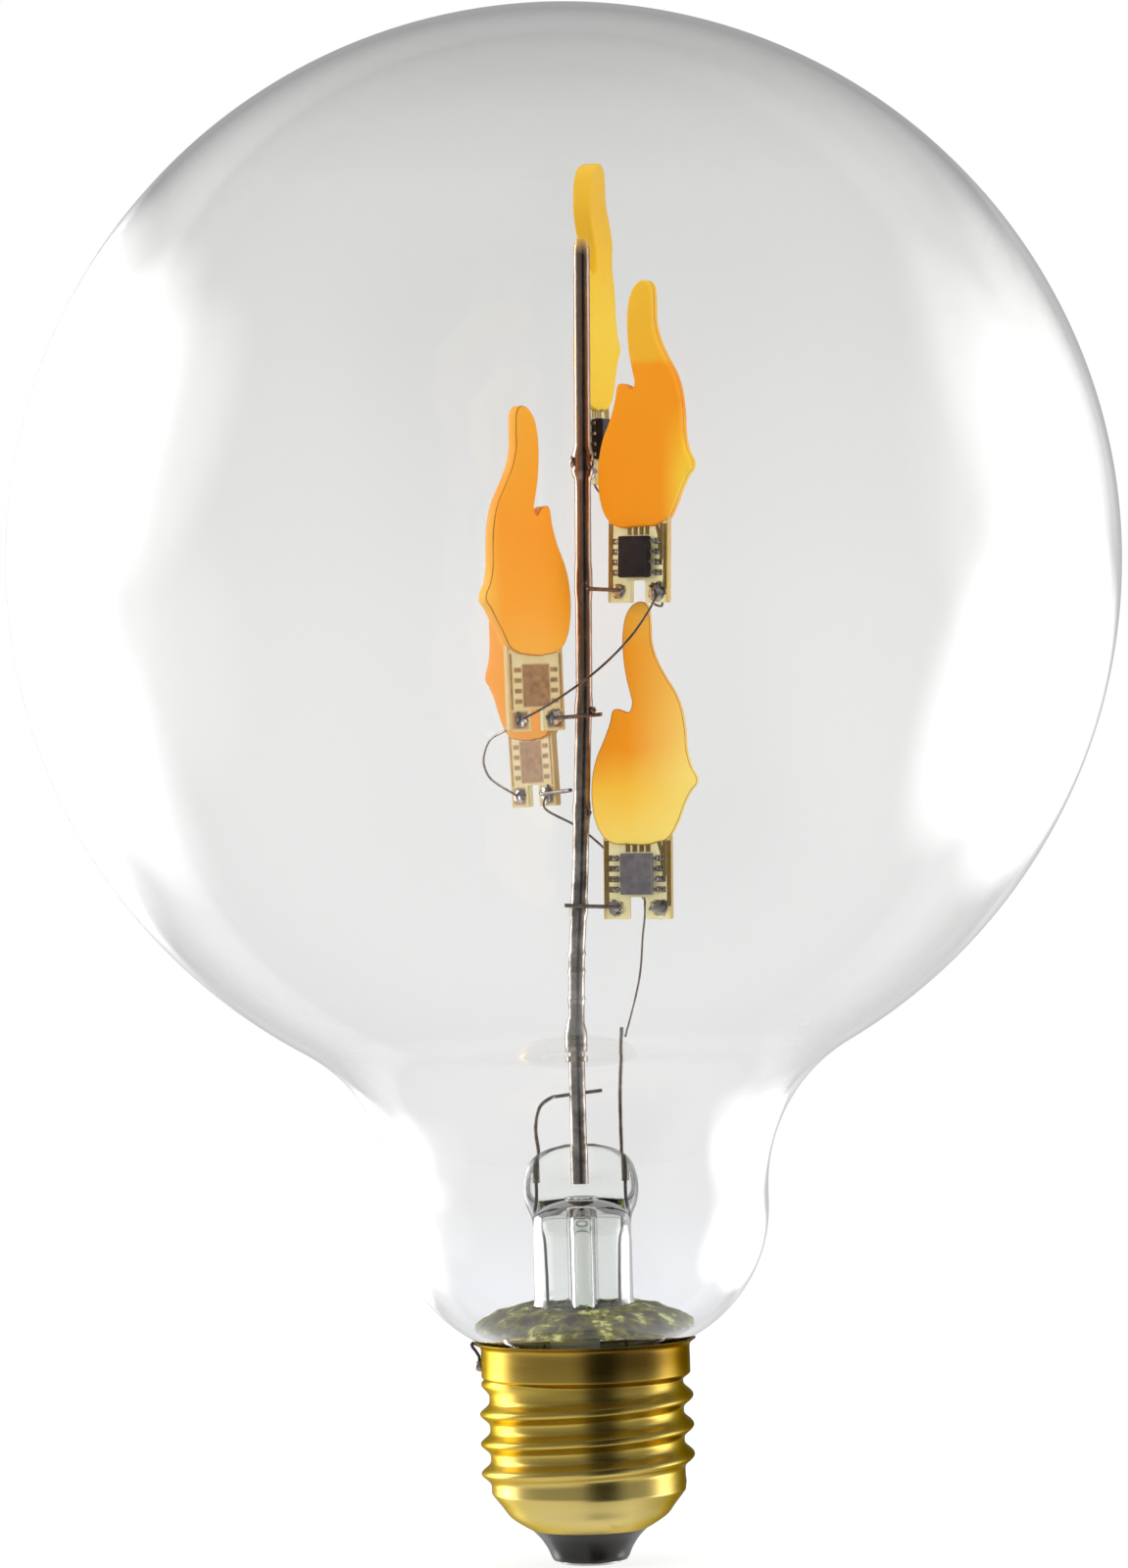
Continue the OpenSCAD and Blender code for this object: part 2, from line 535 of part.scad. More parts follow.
path_d_e = [on_face(3, -prong_x - 0.2, 1, pad_z - 0.3), on_face(3, -prong_x - 0.1, 1, -0.4), above_press(0.4, 4, 38.8),
            above_press(2.4, 3.6, 37.3), above_press(5, 2.6, 34.6), on_face(4, prong_x - 0.4, 1, 0.3),
            on_face(4, prong_x, 1, pad_z)];
module jumper(points) color([0.42, 0.36, 0.32]) wire(points, jumper_r);
module feed_wire() jumper(path_feed);
module jumper_a_b() jumper(path_a_b);
module jumper_b_c() jumper(path_b_c);
module jumper_c_d() jumper(path_c_d);
module jumper_d_e() jumper(path_d_e);

// rolled thread: narrow crests that climb to the right and run out at both ends
function crest(z, a) = let (turn = (z - thread_top_z) / thread_pitch - a / 360,
                            near = round(turn), along = near + a / 360,
                            swell = ease((along + thread_turns - 0.6) / 0.3) * ease((0.75 - along) / 0.35))
    swell * ease((z - thread_foot_z) / 0.8) * pow(0.5 + 0.5 * cos(360 * (turn - near)), 1.5);
function thread_r(z, a) = max(root_r + (crest_r - root_r) * crest(z, a),
                              root_r + (skirt_r - root_r - 0.05) * ease((z - skirt_z + 0.9) / 0.9))
                          - 0.05 * ease((thread_foot_z + 0.7 - z) / 0.35);
thread_rings = 38;
function thread_ring(i) = let (z = thread_foot_z + (skirt_z + 0.2 - thread_foot_z) * i / thread_rings)
    [for (j = [0 : 47]) let (a = 7.5 * j, r = thread_r(z, a > 180 ? a - 360 : a)) [r * cos(a), r * sin(a), z]];

dome_low = [7.1, 4.3];
dome_in = [6.95, 4.65];
dome_mid = [9.7, 6];
dome_mid_in = [dome_mid[0] - 0.35, dome_mid[1] + 0.2];
module screw_shell() color([0.83, 0.62, 0.25]) difference() {
    union() {
        rotate_extrude() polygon([[0, dome_low[1]], dome_low, dome_mid, [10.6, 7.4], [root_r - 0.35, 8.2],
                                  [root_r, 9.1], [root_r, 9.3], [0, 9.3]]);
        loft([for (i = [0 : thread_rings]) thread_ring(i)]);
        rotate_extrude() polygon([[0, skirt_z], [skirt_r, skirt_z], [skirt_r, cap_h - rim_flare_h],
                                  [rim_r, cap_h], [0, cap_h]]);
    }
    rotate_extrude() polygon([[0, 0], [dome_low[0], 0], dome_low, dome_in, dome_mid_in,
        [10.2, 7.65], [root_r - shell_wall - 0.35, 8.45], [root_r - shell_wall, 9.3],
        [root_r - shell_wall, skirt_z - 0.4], [skirt_in_r, skirt_z + 0.15],
        [skirt_in_r, cap_h - rim_flare_h + 0.12], [rim_in_r, cap_h + eps], [0, cap_h + eps]]);
    translate([-rim_r - 1, -0.3, cap_h - rim_flare_h - 0.1]) cube([3, 0.6, 2]);
}

// black glass between shell and centre contact
module cap_insulator() color([0.1, 0.1, 0.1]) rotate_extrude() polygon([[1, contact_t],
    [contact_r, contact_t], [contact_r, 0.5], [4.5, 0.5], [4.75, 1], [5.1, 1.75], dome_low, dome_in,
    dome_in + 0.9 * (dome_mid_in - dome_in), [9, 7.3], [1, 7.3]]);

// flat tin-faced contact with its rivet
module centre_contact() color([0.78, 0.78, 0.76]) rotate_extrude()
    polygon([[0, 0], [contact_r - 0.25, 0], [contact_r, 0.2], [contact_r, contact_t], [1, contact_t],
             [1, 3.2], [0, 3.2]]);

module cap_cement() color([0.78, 0.76, 0.62]) difference() {
    rotate_extrude() polygon([[neck_end_r, neck_end_z], [skirt_in_r, neck_end_z],
        [skirt_in_r, min(fillet_z, cap_h - rim_flare_h - 0.1)], [neck_end_r, min(fillet_z, cap_h - rim_flare_h - 0.1)]]);
    side_lead_solid();
}

// bare lead over the rim, soldered to the outside of the skirt
side_x = -skirt_r - outer_lead_d / 2 - 0.02;
module side_lead_solid() wire([[-6.2, driver_back + outer_lead_d / 2 + 0.03, driver_z + driver_h - 1],
    [-7.5, -1.2, skirt_z - 0.8], [-9.6, 0, skirt_z - 0.5], [-neck_end_r + 0.1, 0, neck_end_z - 0.5],
    [-skirt_in_r + 0.55, 0, neck_end_z + 0.4],
    [-skirt_in_r + 0.55, 0, cap_h - 1], [-rim_in_r + 0.3, 0, cap_h - 0.5],
    [-rim_r - 0.25, 0, cap_h - 0.06], [-rim_r - 0.25, 0, cap_h - 0.55], [side_x, 0, cap_h - 1.7],
    [side_x, 0, skirt_z + 1]], outer_lead_d / 2);
module side_lead() color([0.25, 0.2, 0.18]) side_lead_solid();
module side_solder() color([0.7, 0.68, 0.64]) difference() {
    translate([side_x + 0.1, 0, skirt_z + 1.3]) sphere(r = 0.7);
    cylinder(r = skirt_r, h = cap_h);
    side_lead_solid();
}

// driver board in the cap, its narrow top standing in the mouth of the stem
module driver_board() color([0.72, 0.78, 0.66]) {
    translate([-driver_w / 2, driver_y, driver_z]) cube([driver_w, driver_t, driver_h]);
    translate([-4.2, driver_y, driver_z + driver_h - eps]) cube([6, driver_t, cap_h + 1.5 - driver_z - driver_h]);
}
module rectifier() color([0.12, 0.12, 0.12])
    translate([1, driver_y - 2.4, driver_z + 3]) cube([4.6, 2.4, 3.9]);
module smoothing_capacitor() color([0.15, 0.16, 0.2])
    translate([2.2, driver_back + capacitor_d / 2, driver_z])
        cylinder(r = capacitor_d / 2, h = exhaust_tip_z - exhaust_d / 2 - capacitor_gap - driver_z);
resistor_pos = [-4.6, driver_back + resistor_d / 2, driver_z + 1.2];
module fuse_resistor() color([0.35, 0.5, 0.45]) translate(resistor_pos)
    cylinder(r = resistor_d / 2, h = resistor_len);
module centre_lead() color([0.6, 0.55, 0.5])
    wire([resistor_pos, [-4.2, -1, driver_z - 0.4], [-1.4, 0, 8.3], [0, 0, 7.4], [0, 0, 3.2]], outer_lead_d / 2);

glass_envelope();
stem_glass();
exhaust_tube();
rod_lower();
rod_sleeve();
rod_upper();
lead_in_left();
lead_in_right();
seal_left();
seal_right();
outer_lead_left();
outer_lead_right();
feed_wire();
jumper_a_b();
jumper_b_c();
jumper_c_d();
jumper_d_e();
arm(0);  // arm_a
arm(1);  // arm_b
arm(2);  // arm_c
arm(3);  // arm_d
arm(4);  // arm_e
board(0);  // board_a
board(1);  // board_b
board(2);  // board_c
board(3);  // board_d
board(4);  // board_e
flame(0);  // flame_a
flame(1);  // flame_b
flame(2);  // flame_c
flame(3);  // flame_d
flame(4);  // flame_e
chip(0);  // chip_a
chip(1);  // chip_b
chip(2);  // chip_c
chip(3);  // chip_d
chip(4);  // chip_e
contacts(0);  // contacts_a
contacts(1);  // contacts_b
contacts(2);  // contacts_c
contacts(3);  // contacts_d
contacts(4);  // contacts_e
screw_shell();
cap_insulator();
centre_contact();
cap_cement();
side_lead();
side_solder();
driver_board();
rectifier();
smoothing_capacitor();
fuse_resistor();
centre_lead();
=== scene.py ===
import json
from math import atan2, cos, exp, pi, radians, sin, sqrt

import bmesh
import bpy
from mathutils import Matrix, Vector, geometry, noise

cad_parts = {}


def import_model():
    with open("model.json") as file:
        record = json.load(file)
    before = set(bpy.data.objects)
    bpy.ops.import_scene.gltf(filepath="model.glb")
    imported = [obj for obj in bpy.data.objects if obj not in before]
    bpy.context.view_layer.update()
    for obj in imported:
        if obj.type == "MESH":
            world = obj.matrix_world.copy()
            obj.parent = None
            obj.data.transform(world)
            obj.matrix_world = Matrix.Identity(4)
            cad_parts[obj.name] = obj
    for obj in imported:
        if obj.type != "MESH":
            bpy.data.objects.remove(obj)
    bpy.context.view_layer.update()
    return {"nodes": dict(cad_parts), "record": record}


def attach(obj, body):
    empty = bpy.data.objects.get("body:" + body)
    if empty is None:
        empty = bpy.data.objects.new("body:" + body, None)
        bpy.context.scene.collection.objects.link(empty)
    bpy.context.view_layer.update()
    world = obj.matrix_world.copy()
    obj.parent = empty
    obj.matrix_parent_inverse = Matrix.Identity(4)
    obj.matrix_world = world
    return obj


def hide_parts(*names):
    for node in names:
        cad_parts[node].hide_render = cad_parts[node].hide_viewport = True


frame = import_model()
NODES = frame["nodes"]
MM = 0.001

# sizes in millimetres, as in the part's source

GLOBE_R, GLASS_WALL, NECK_R, NECK_STRAIGHT = 68.1, 0.8, 22.95, 2.0
THROAT_R, SHOULDER_R, FILLET_R = 20.5, 18.0, 1.2
THREAD_FOOT, THREAD_H, SKIRT_H, THREAD_DROP = 9.0, 14.2, 4.2, 2.8
CREST_R, ROOT_R, PITCH, TURNS = 13.1, 11.9, 3.629, 3.65
SKIRT_R, RIM_FLARE_H, RIM_FLARE, SHELL, CEMENT_W = 12.8, 0.8, 0.75, 0.35, 1.15
STEM_R, STEM_WALL, STEM_RISE, STEM_LEN, PRESS_H = 6.05, 0.7, 5.6, 8.0, 10.6
EXH_R, EXH_BORE_R = 1.85, 1.05
ROD_R = 1.0
# one value for each flame, from the top one down
FLAME_H = [29.9, 30.1, 30.4, 30.8, 29.7]
FLAME_W, FLAME_T = 13.4, 1.8
BOARD_W, BOARD_T, NOTCH_W, NOTCH_H = 8.5, 0.8, 2.0, 2.7
BOARD_H = [9.1, 9.1, 9.2, 8.2, 9.1]
REACH = [6.63, 8.0, 7.3, 8.6, 7.5]
SIDE = [1, 0, 0, 0, 0]
TURN = [68, -32, 218, 130, -10]
LEAN = [0.3, 1.9, -0.8, -2.3, 1.0]
RISE = [80.7, 65.7, 50.4, 41.15, 27.1]
CHIP_W, CHIP_LEN, CHIP_T, CHIP_FOOT, LEG_PITCH, LEG_W = 4.0, 5.1, 1.5, 3.0, 1.27, 0.41
LEAD_R, JUMPER_R, ARM_R = 0.25, 0.15, 0.25
LETTERS = "abcde"

SKIRT_Z = THREAD_FOOT + THREAD_H
CAP_H = SKIRT_Z + SKIRT_H
THREAD_TOP = SKIRT_Z - THREAD_DROP
RIM_R = SKIRT_R + RIM_FLARE
RIM_IN = RIM_R - 1.3 * SHELL
SKIRT_IN = SKIRT_R - SHELL
SH_X = NECK_R - SHOULDER_R
SH_Z = CAP_H + 0.05 + sqrt(SHOULDER_R ** 2 - (RIM_IN - SH_X) ** 2)
THROAT_Z = SH_Z + NECK_STRAIGHT
GLOBE_Z = THROAT_Z + sqrt((GLOBE_R + THROAT_R) ** 2 - (NECK_R + THROAT_R) ** 2)
END_R = SKIRT_IN - CEMENT_W
END_Z = SKIRT_Z + 0.4
FIL_X = END_R + FILLET_R
FIL_Z = SH_Z - sqrt((SHOULDER_R + FILLET_R) ** 2 - (FIL_X - SH_X) ** 2)
FLARE_R = END_R - GLASS_WALL
FLARE_Z = CAP_H + STEM_RISE
FLARE_CURVE, FLARE_TURN = 5.0, 3.2
FLARE_FOOT = FLARE_Z - sqrt((FLARE_CURVE + FLARE_TURN) ** 2
                            - (STEM_R + FLARE_CURVE - FLARE_R + FLARE_TURN) ** 2)
PRESS_Z = FLARE_Z + STEM_LEN
PRESS_TOP = PRESS_Z + PRESS_H
ROD_JOINT = PRESS_TOP + 11.3
ROD_TOP = PRESS_TOP + 110.4
FOOT_Z = [PRESS_TOP + r for r in RISE]
ROD_LINE = [(ROD_JOINT, -0.1), (PRESS_TOP + 22.4, 0.25), (PRESS_TOP + 32.4, 0.95), (PRESS_TOP + 55.4, 2.05),
            (PRESS_TOP + 82.4, 2.6), (ROD_TOP, 3.2)]


def rod_x(z):
    if z <= ROD_LINE[0][0]:
        return ROD_LINE[0][1]
    for (z0, x0), (z1, x1) in zip(ROD_LINE, ROD_LINE[1:]):
        if z <= z1:
            return x0 + (x1 - x0) * (z - z0) / (z1 - z0)
    return ROD_LINE[-1][1]


def ease(t):
    s = min(1, max(0, t))
    return s * s * (3 - 2 * s)


def flame_frame(k):
    t = radians(TURN[k])
    foot = Vector((rod_x(FOOT_Z[k]) + REACH[k] * cos(t) - SIDE[k] * sin(t),
                   REACH[k] * sin(t) + SIDE[k] * cos(t), FOOT_Z[k]))
    return (Matrix.Translation(foot) @ Matrix.Rotation(radians(LEAN[k]), 4, "Y")
            @ Matrix.Rotation(t, 4, "Z"))


FRAMES = [flame_frame(k) for k in range(5)]


def on_flame(k, x, y, z):
    return FRAMES[k] @ Vector((x, y, z))


def placed(k):
    m = FRAMES[k].copy()
    m.translation *= MM
    return m


# material building

def material(name):
    """A new material with its tree and its Principled shader."""
    m = bpy.data.materials.new(name)
    m.use_nodes = True
    nt = m.node_tree
    nt.nodes.clear()
    out = nt.nodes.new("ShaderNodeOutputMaterial")
    bsdf = nt.nodes.new("ShaderNodeBsdfPrincipled")
    nt.links.new(bsdf.outputs["BSDF"], out.inputs["Surface"])
    return m, nt, bsdf


def put(n, **values):
    """Sets a node's own sockets, with _ in a name for each space."""
    for key, value in values.items():
        n.inputs[key.replace("_", " ")].default_value = value


def node(nt, kind, **inputs):
    n = nt.nodes.new(kind)
    put(n, **inputs)
    return n


def srgb(*c):
    """Linear colour from 0 to 255 display values."""
    return tuple(((v / 255 + 0.055) / 1.055) ** 2.4 if v > 10 else v / 255 / 12.92 for v in c)


def ramp(nt, fac, stops):
    r = nt.nodes.new("ShaderNodeValToRGB")
    while len(r.color_ramp.elements) < len(stops):
        r.color_ramp.elements.new(0.5)
    for e, (pos, col) in zip(r.color_ramp.elements, stops):
        e.position = pos
        e.color = (*col, 1)
    nt.links.new(fac, r.inputs["Fac"])
    return r.outputs["Color"]


def coords(nt, stretch=(1, 1, 1)):
    tc = nt.nodes.new("ShaderNodeTexCoord")
    mp = node(nt, "ShaderNodeMapping", Scale=stretch)
    nt.links.new(tc.outputs["Object"], mp.inputs["Vector"])
    return mp.outputs["Vector"]


def noise_tex(nt, scale, detail=3.0, rough=0.5, stretch=(1, 1, 1)):
    n = node(nt, "ShaderNodeTexNoise", Scale=scale, Detail=detail, Roughness=rough)
    nt.links.new(coords(nt, stretch), n.inputs["Vector"])
    return n.outputs["Fac"]


def bump(nt, bsdf, height, strength, distance):
    b = node(nt, "ShaderNodeBump", Strength=strength, Distance=distance)
    nt.links.new(height, b.inputs["Height"])
    nt.links.new(b.outputs["Normal"], bsdf.inputs["Normal"])


def math_node(nt, op, a, b=None, clamp=False):
    n = nt.nodes.new("ShaderNodeMath")
    n.operation = op
    n.use_clamp = clamp
    for i, v in enumerate((a, b)):
        if v is None:
            continue
        if isinstance(v, (int, float)):
            n.inputs[i].default_value = v
        else:
            nt.links.new(v, n.inputs[i])
    return n.outputs[0]


def times(nt, a, b, clamp=False):
    return math_node(nt, "MULTIPLY", a, b, clamp)


def plus(nt, a, b, clamp=False):
    return math_node(nt, "ADD", a, b, clamp)


def minus(nt, a, b, clamp=False):
    return math_node(nt, "SUBTRACT", a, b, clamp)


def larger(nt, a, b):
    return math_node(nt, "MAXIMUM", a, b)


def mix_color(nt, fac, a, b, blend="MIX"):
    n = nt.nodes.new("ShaderNodeMix")
    n.data_type = "RGBA"
    n.blend_type = blend
    for i, v in ((0, fac), (6, a), (7, b)):
        if isinstance(v, (int, float)):
            n.inputs[i].default_value = v
        elif isinstance(v, tuple):
            n.inputs[i].default_value = (*v, 1)
        else:
            nt.links.new(v, n.inputs[i])
    return n.outputs[2]


def axis(nt, letter):
    tc = nt.nodes.new("ShaderNodeTexCoord")
    sep = nt.nodes.new("ShaderNodeSeparateXYZ")
    nt.links.new(tc.outputs["Object"], sep.inputs["Vector"])
    return sep.outputs[letter]


def span(nt, value, lo, hi):
    """0 at lo and 1 at hi, both in millimetres."""
    n = node(nt, "ShaderNodeMapRange", From_Min=lo * MM, From_Max=hi * MM)
    nt.links.new(value, n.inputs["Value"])
    return n.outputs["Result"]


def paint(nt, b, col):
    nt.links.new(col, b.inputs["Base Color"])


def show(nt, shader):
    nt.links.new(shader, nt.nodes["Material Output"].inputs["Surface"])


def mix_shader(nt, fac, a, b):
    n = nt.nodes.new("ShaderNodeMixShader")
    for value, socket in ((fac, "Fac"), (a, 1), (b, 2)):
        nt.links.new(value, n.inputs[socket])
    return n.outputs[0]


def spread_rough(nt, b, fac, lo, hi):
    mr = node(nt, "ShaderNodeMapRange", To_Min=lo, To_Max=hi)
    nt.links.new(fac, mr.inputs["Value"])
    nt.links.new(mr.outputs["Result"], b.inputs["Roughness"])


def glass(name, tint_and_shade_up, edge, power):
    """Clear glass, faint grey, with painted shade that deepens the grey at the rim and towards the top."""
    m, nt, b = material(name)
    lw = node(nt, "ShaderNodeLayerWeight", Blend=power)
    z = axis(nt, "Z")
    # painted shade: on the globe the colour up its height darkens towards the top
    tint = ramp(nt, span(nt, z, 25, 192), tint_and_shade_up)
    # painted shade: a darker grey where the glass turns away from the camera, deepened towards the top
    rim = ramp(nt, lw.outputs["Facing"], [(0.0, (1, 1, 1)), (0.72, (1, 1, 1)), (0.93, edge), (1.0, edge)])
    high = span(nt, z, 70, 150)
    rim = mix_color(nt, plus(nt, times(nt, high, 0.75), 0.25), (1.0, 1.0, 1.0), rim)
    tint = mix_color(nt, 1.0, tint, rim, "MULTIPLY")
    waves = noise_tex(nt, 22, 1, 0.4)
    tint = mix_color(nt, times(nt, waves, 0.04), tint, (0.78, 0.79, 0.79))
    paint(nt, b, tint)
    put(b, Transmission_Weight=1, Roughness=0.0, IOR=1.5)
    lp = nt.nodes.new("ShaderNodeLightPath")
    clear = node(nt, "ShaderNodeBsdfTransparent", Color=(0.95, 0.95, 0.95, 1))
    # shadows, bounced light and the gloss of the pieces inside pass straight through
    mirrored = minus(nt, lp.outputs["Is Glossy Ray"], lp.outputs["Is Transmission Ray"], True)
    passing = larger(nt, lp.outputs["Is Shadow Ray"], larger(nt, lp.outputs["Is Diffuse Ray"], mirrored))
    show(nt, mix_shader(nt, passing, b.outputs["BSDF"], clear.outputs[0]))
    return m


def metal(name, dark, light, scale, rough, spread, bump_d=0.00002):
    m, nt, b = material(name)
    n = noise_tex(nt, scale, 5, 0.6)
    paint(nt, b, ramp(nt, n, [(0.35, dark), (0.65, light)]))
    put(b, Metallic=1)
    spread_rough(nt, b, n, rough, rough + spread)
    bump(nt, b, n, 0.15, bump_d)
    return m


def plain(name, dark, light, scale, rough, bump_s=0.1):
    m, nt, b = material(name)
    n = noise_tex(nt, scale, 4, 0.55)
    paint(nt, b, ramp(nt, n, [(0.35, dark), (0.65, light)]))
    spread_rough(nt, b, n, max(0.03, rough - 0.06), rough + 0.06)
    bump(nt, b, n, bump_s, 0.00003)
    return m


def brass():
    """Rolled brass, brown on the skirt, with a painted reflection that makes it lighter at the foot and
    painted shade that darkens its right side, most on the skirt.
    """
    m, nt, b = material("cap_brass")
    fine = noise_tex(nt, 160, 6, 0.65)
    streak = noise_tex(nt, 60, 4, 0.6, (1, 1, 9))
    wide = noise_tex(nt, 28, 3, 0.55)
    z = axis(nt, "Z")
    col = ramp(nt, wide, [(0.3, (0.68, 0.47, 0.07)), (0.7, (0.84, 0.64, 0.16))])
    # painted reflection of the floor: lighter and yellower towards the foot
    painted_floor_reflection = span(nt, z, 15, 6)
    col = mix_color(nt, times(nt, painted_floor_reflection, 0.6, True), col, (0.9, 0.76, 0.34))
    brown = span(nt, z, 21.5, 25)
    col = mix_color(nt, times(nt, brown, 0.6, True), col, (0.44, 0.26, 0.04))
    spots = ramp(nt, fine, [(0.6, (0, 0, 0)), (0.74, (1, 1, 1))])
    col = mix_color(nt, times(nt, spots, 0.45), col, (0.34, 0.19, 0.04))
    col = mix_color(nt, times(nt, streak, 0.15), col, (0.9, 0.72, 0.3))
    # painted shade: darker towards the right side
    painted_right_shade = span(nt, axis(nt, "X"), 5, 12)
    col = mix_color(nt, times(nt, painted_right_shade, 0.85, True), col, (0.14, 0.09, 0.02))
    # painted shade: darker still on the skirt, from its middle to the right
    painted_skirt_shade = times(nt, span(nt, axis(nt, "X"), -2, 4), brown, True)
    col = mix_color(nt, times(nt, painted_skirt_shade, 0.8), col, (0.12, 0.065, 0.012))
    paint(nt, b, col)
    put(b, Metallic=1, Specular_Tint=(0.6, 0.48, 0.2, 1))
    spread_rough(nt, b, streak, 0.2, 0.36)
    bump(nt, b, fine, 0.12, 0.00003)
    return m


def rod_steel():
    """Brown oxidised steel, greyer and mottled below; its tip is dipped in the resin of the top flame."""
    m, nt, b = material("rod_metal")
    z = axis(nt, "Z")
    fine = noise_tex(nt, 420, 5, 0.65)
    streak = noise_tex(nt, 700, 4, 0.6, (1, 1, 0.06))
    col = ramp(nt, streak, [(0.3, (0.24, 0.14, 0.09)), (0.7, (0.64, 0.45, 0.35))])
    aged = ramp(nt, fine, [(0.35, (0.14, 0.12, 0.1)), (0.5, (0.45, 0.42, 0.38)), (0.66, (0.75, 0.73, 0.7))])
    low = span(nt, z, 112, 84)
    col = mix_color(nt, times(nt, low, 0.8, True), col, aged)
    tip = plus(nt, span(nt, z, 160.1, 162.6),
               times(nt, minus(nt, fine, 0.5), 0.25), True)
    col = mix_color(nt, tip, col, srgb(240, 186, 52))
    paint(nt, b, col)
    nt.links.new(minus(nt, 1.0, tip, True), b.inputs["Metallic"])
    spread_rough(nt, b, fine, 0.14, 0.34)
    bump(nt, b, fine, 0.2, 0.00002)
    return m


def rect_mask(nt, x, z, x0, x1, z0, z1, soft):
    """1 inside a rectangle of x and z in millimetres, with a soft edge."""
    parts = [span(nt, x, x0 - soft, x0 + soft), span(nt, x, x1 + soft, x1 - soft),
             span(nt, z, z0 - soft, z0 + soft), span(nt, z, z1 + soft, z1 - soft)]
    out = parts[0]
    for p in parts[1:]:
        out = times(nt, out, p, True)
    return out


def board_resin():
    """Pale translucent resin, golden at its cut edges and tan behind, with painted shadow in brown where the
    chip, its legs, the edge tracks and the pads show through from the front.
    """
    m, nt, b = material("board_resin")
    x, y, z = axis(nt, "X"), axis(nt, "Y"), axis(nt, "Z")
    n = noise_tex(nt, 260, 4, 0.6)
    wide = noise_tex(nt, 900, 2, 0.5)
    col = ramp(nt, n, [(0.35, srgb(232, 217, 150)), (0.65, srgb(246, 236, 186))])
    ax = math_node(nt, "ABSOLUTE", x)
    rim = span(nt, ax, BOARD_W / 2 - 0.55, BOARD_W / 2 - 0.1)
    col = mix_color(nt, times(nt, rim, 0.8), col, srgb(201, 158, 62))
    back = math_node(nt, "GREATER_THAN", y, 0.2 * MM)
    # painted shadow on the back, in brown, where the chip, its legs, the edge tracks and the pads lie on the
    # front
    dark = rect_mask(nt, x, z, -2.1, 2.1, 2.95, 8.15, 0.15)
    for i in range(4):
        zc = CHIP_FOOT + CHIP_LEN / 2 + (i - 1.5) * LEG_PITCH
        for s in (-1, 1):
            a, c = sorted((s * 2.2, s * 3.35))
            dark = larger(nt, dark, rect_mask(nt, x, z, a, c, zc - 0.28, zc + 0.28, 0.1))
    for a, c in ((-3.95, -3.6), (3.62, 3.98)):
        dark = larger(nt, dark, rect_mask(nt, x, z, a, c, 2.6, 9.5, 0.08))
    for s in (-1, 1):
        a, c = sorted((s * 1.5, s * 3.9))
        dark = larger(nt, dark, rect_mask(nt, x, z, a, c, 0.3, 2.4, 0.2))
    # colour of the painted shadow
    shade = ramp(nt, wide, [(0.3, srgb(122, 76, 26)), (0.7, srgb(172, 120, 62))])
    behind = mix_color(nt, 0.45, col, srgb(196, 158, 92))
    col = mix_color(nt, back, col, behind)
    col = mix_color(nt, times(nt, times(nt, dark, back), 0.95), col, shade)
    paint(nt, b, col)
    spread_rough(nt, b, n, 0.22, 0.4)
    put(b, Coat_Weight=0.3, Coat_Roughness=0.15)
    bump(nt, b, n, 0.1, 0.00003)
    return m


# colours up each flame: share of its height, then red, green and blue
UP = [
    [(0, 252, 208, 40), (0.35, 253, 212, 58), (0.62, 250, 198, 44), (0.8, 244, 188, 44), (1, 243, 192, 50)],
    [(0, 246, 152, 20), (0.3, 248, 153, 18), (0.655, 248, 156, 20), (0.68, 246, 180, 44), (1, 245, 192, 52)],
    [(0, 247, 172, 46), (0.2, 249, 160, 24), (0.5, 249, 156, 22), (0.8, 246, 166, 34), (1, 246, 172, 38)],
    [(0, 232, 152, 46), (0.3, 244, 156, 34), (1, 246, 160, 34)],
    [(0, 252, 220, 108), (0.22, 250, 194, 62), (0.4, 244, 150, 14), (0.8, 243, 155, 24), (1, 238, 178, 62)],
]
# colour of each flame's outer side, the x in mm where it starts and is full, and its strength
ACROSS = [
    ((250, 206, 60), -1.0, 6.0, 0.1),
    ((252, 214, 62), 3.6, 6.6, 0.9),
    ((250, 204, 86), 5.0, 7.4, 0.6),
    ((236, 150, 40), -3.0, 6.0, 0.2),
    ((252, 228, 124), -1.0, 7.0, 0.9),
]


def phosphor(k):
    """Cast orange body: its colour changes up the flame and from its inner to its outer edge."""
    m, nt, b = material("phosphor_" + LETTERS[k])
    x, z = axis(nt, "X"), axis(nt, "Z")
    mottle = noise_tex(nt, 170, 3, 0.55)
    fine = noise_tex(nt, 1500, 3, 0.6)
    zz = plus(nt, span(nt, z, BOARD_H[k], BOARD_H[k] + FLAME_H[k]),
              times(nt, minus(nt, mottle, 0.5), 0.03 if k == 1 else 0.12))
    col = ramp(nt, zz, [(at, srgb(*c)) for at, *c in UP[k]])
    outer, x0, x1, strength = ACROSS[k]
    side = times(nt, span(nt, x, x0, x1), strength, True)
    if k == 1:
        low = span(nt, z, BOARD_H[k] + 15, BOARD_H[k] + 6)
        side = times(nt, side, low, True)
    if k == 4:
        low = span(nt, z, BOARD_H[k] + 30, BOARD_H[k] + 8)
        side = times(nt, side, plus(nt, times(nt, low, 0.7), 0.3), True)
    col = mix_color(nt, side, col, srgb(*outer))
    spots = ramp(nt, fine, [(0.66, (0, 0, 0)), (0.78, (1, 1, 1))])
    col = mix_color(nt, times(nt, spots, 0.10), col, srgb(214, 132, 30))
    paint(nt, b, col)
    spread_rough(nt, b, mottle, 0.34, 0.46)
    put(b, Subsurface_Weight=0.08, Subsurface_Radius=(0.0012, 0.0006, 0.0002), Subsurface_Scale=1.0,
        Specular_IOR_Level=0.22)
    bump(nt, b, mottle, 0.06, 0.0002)
    return m
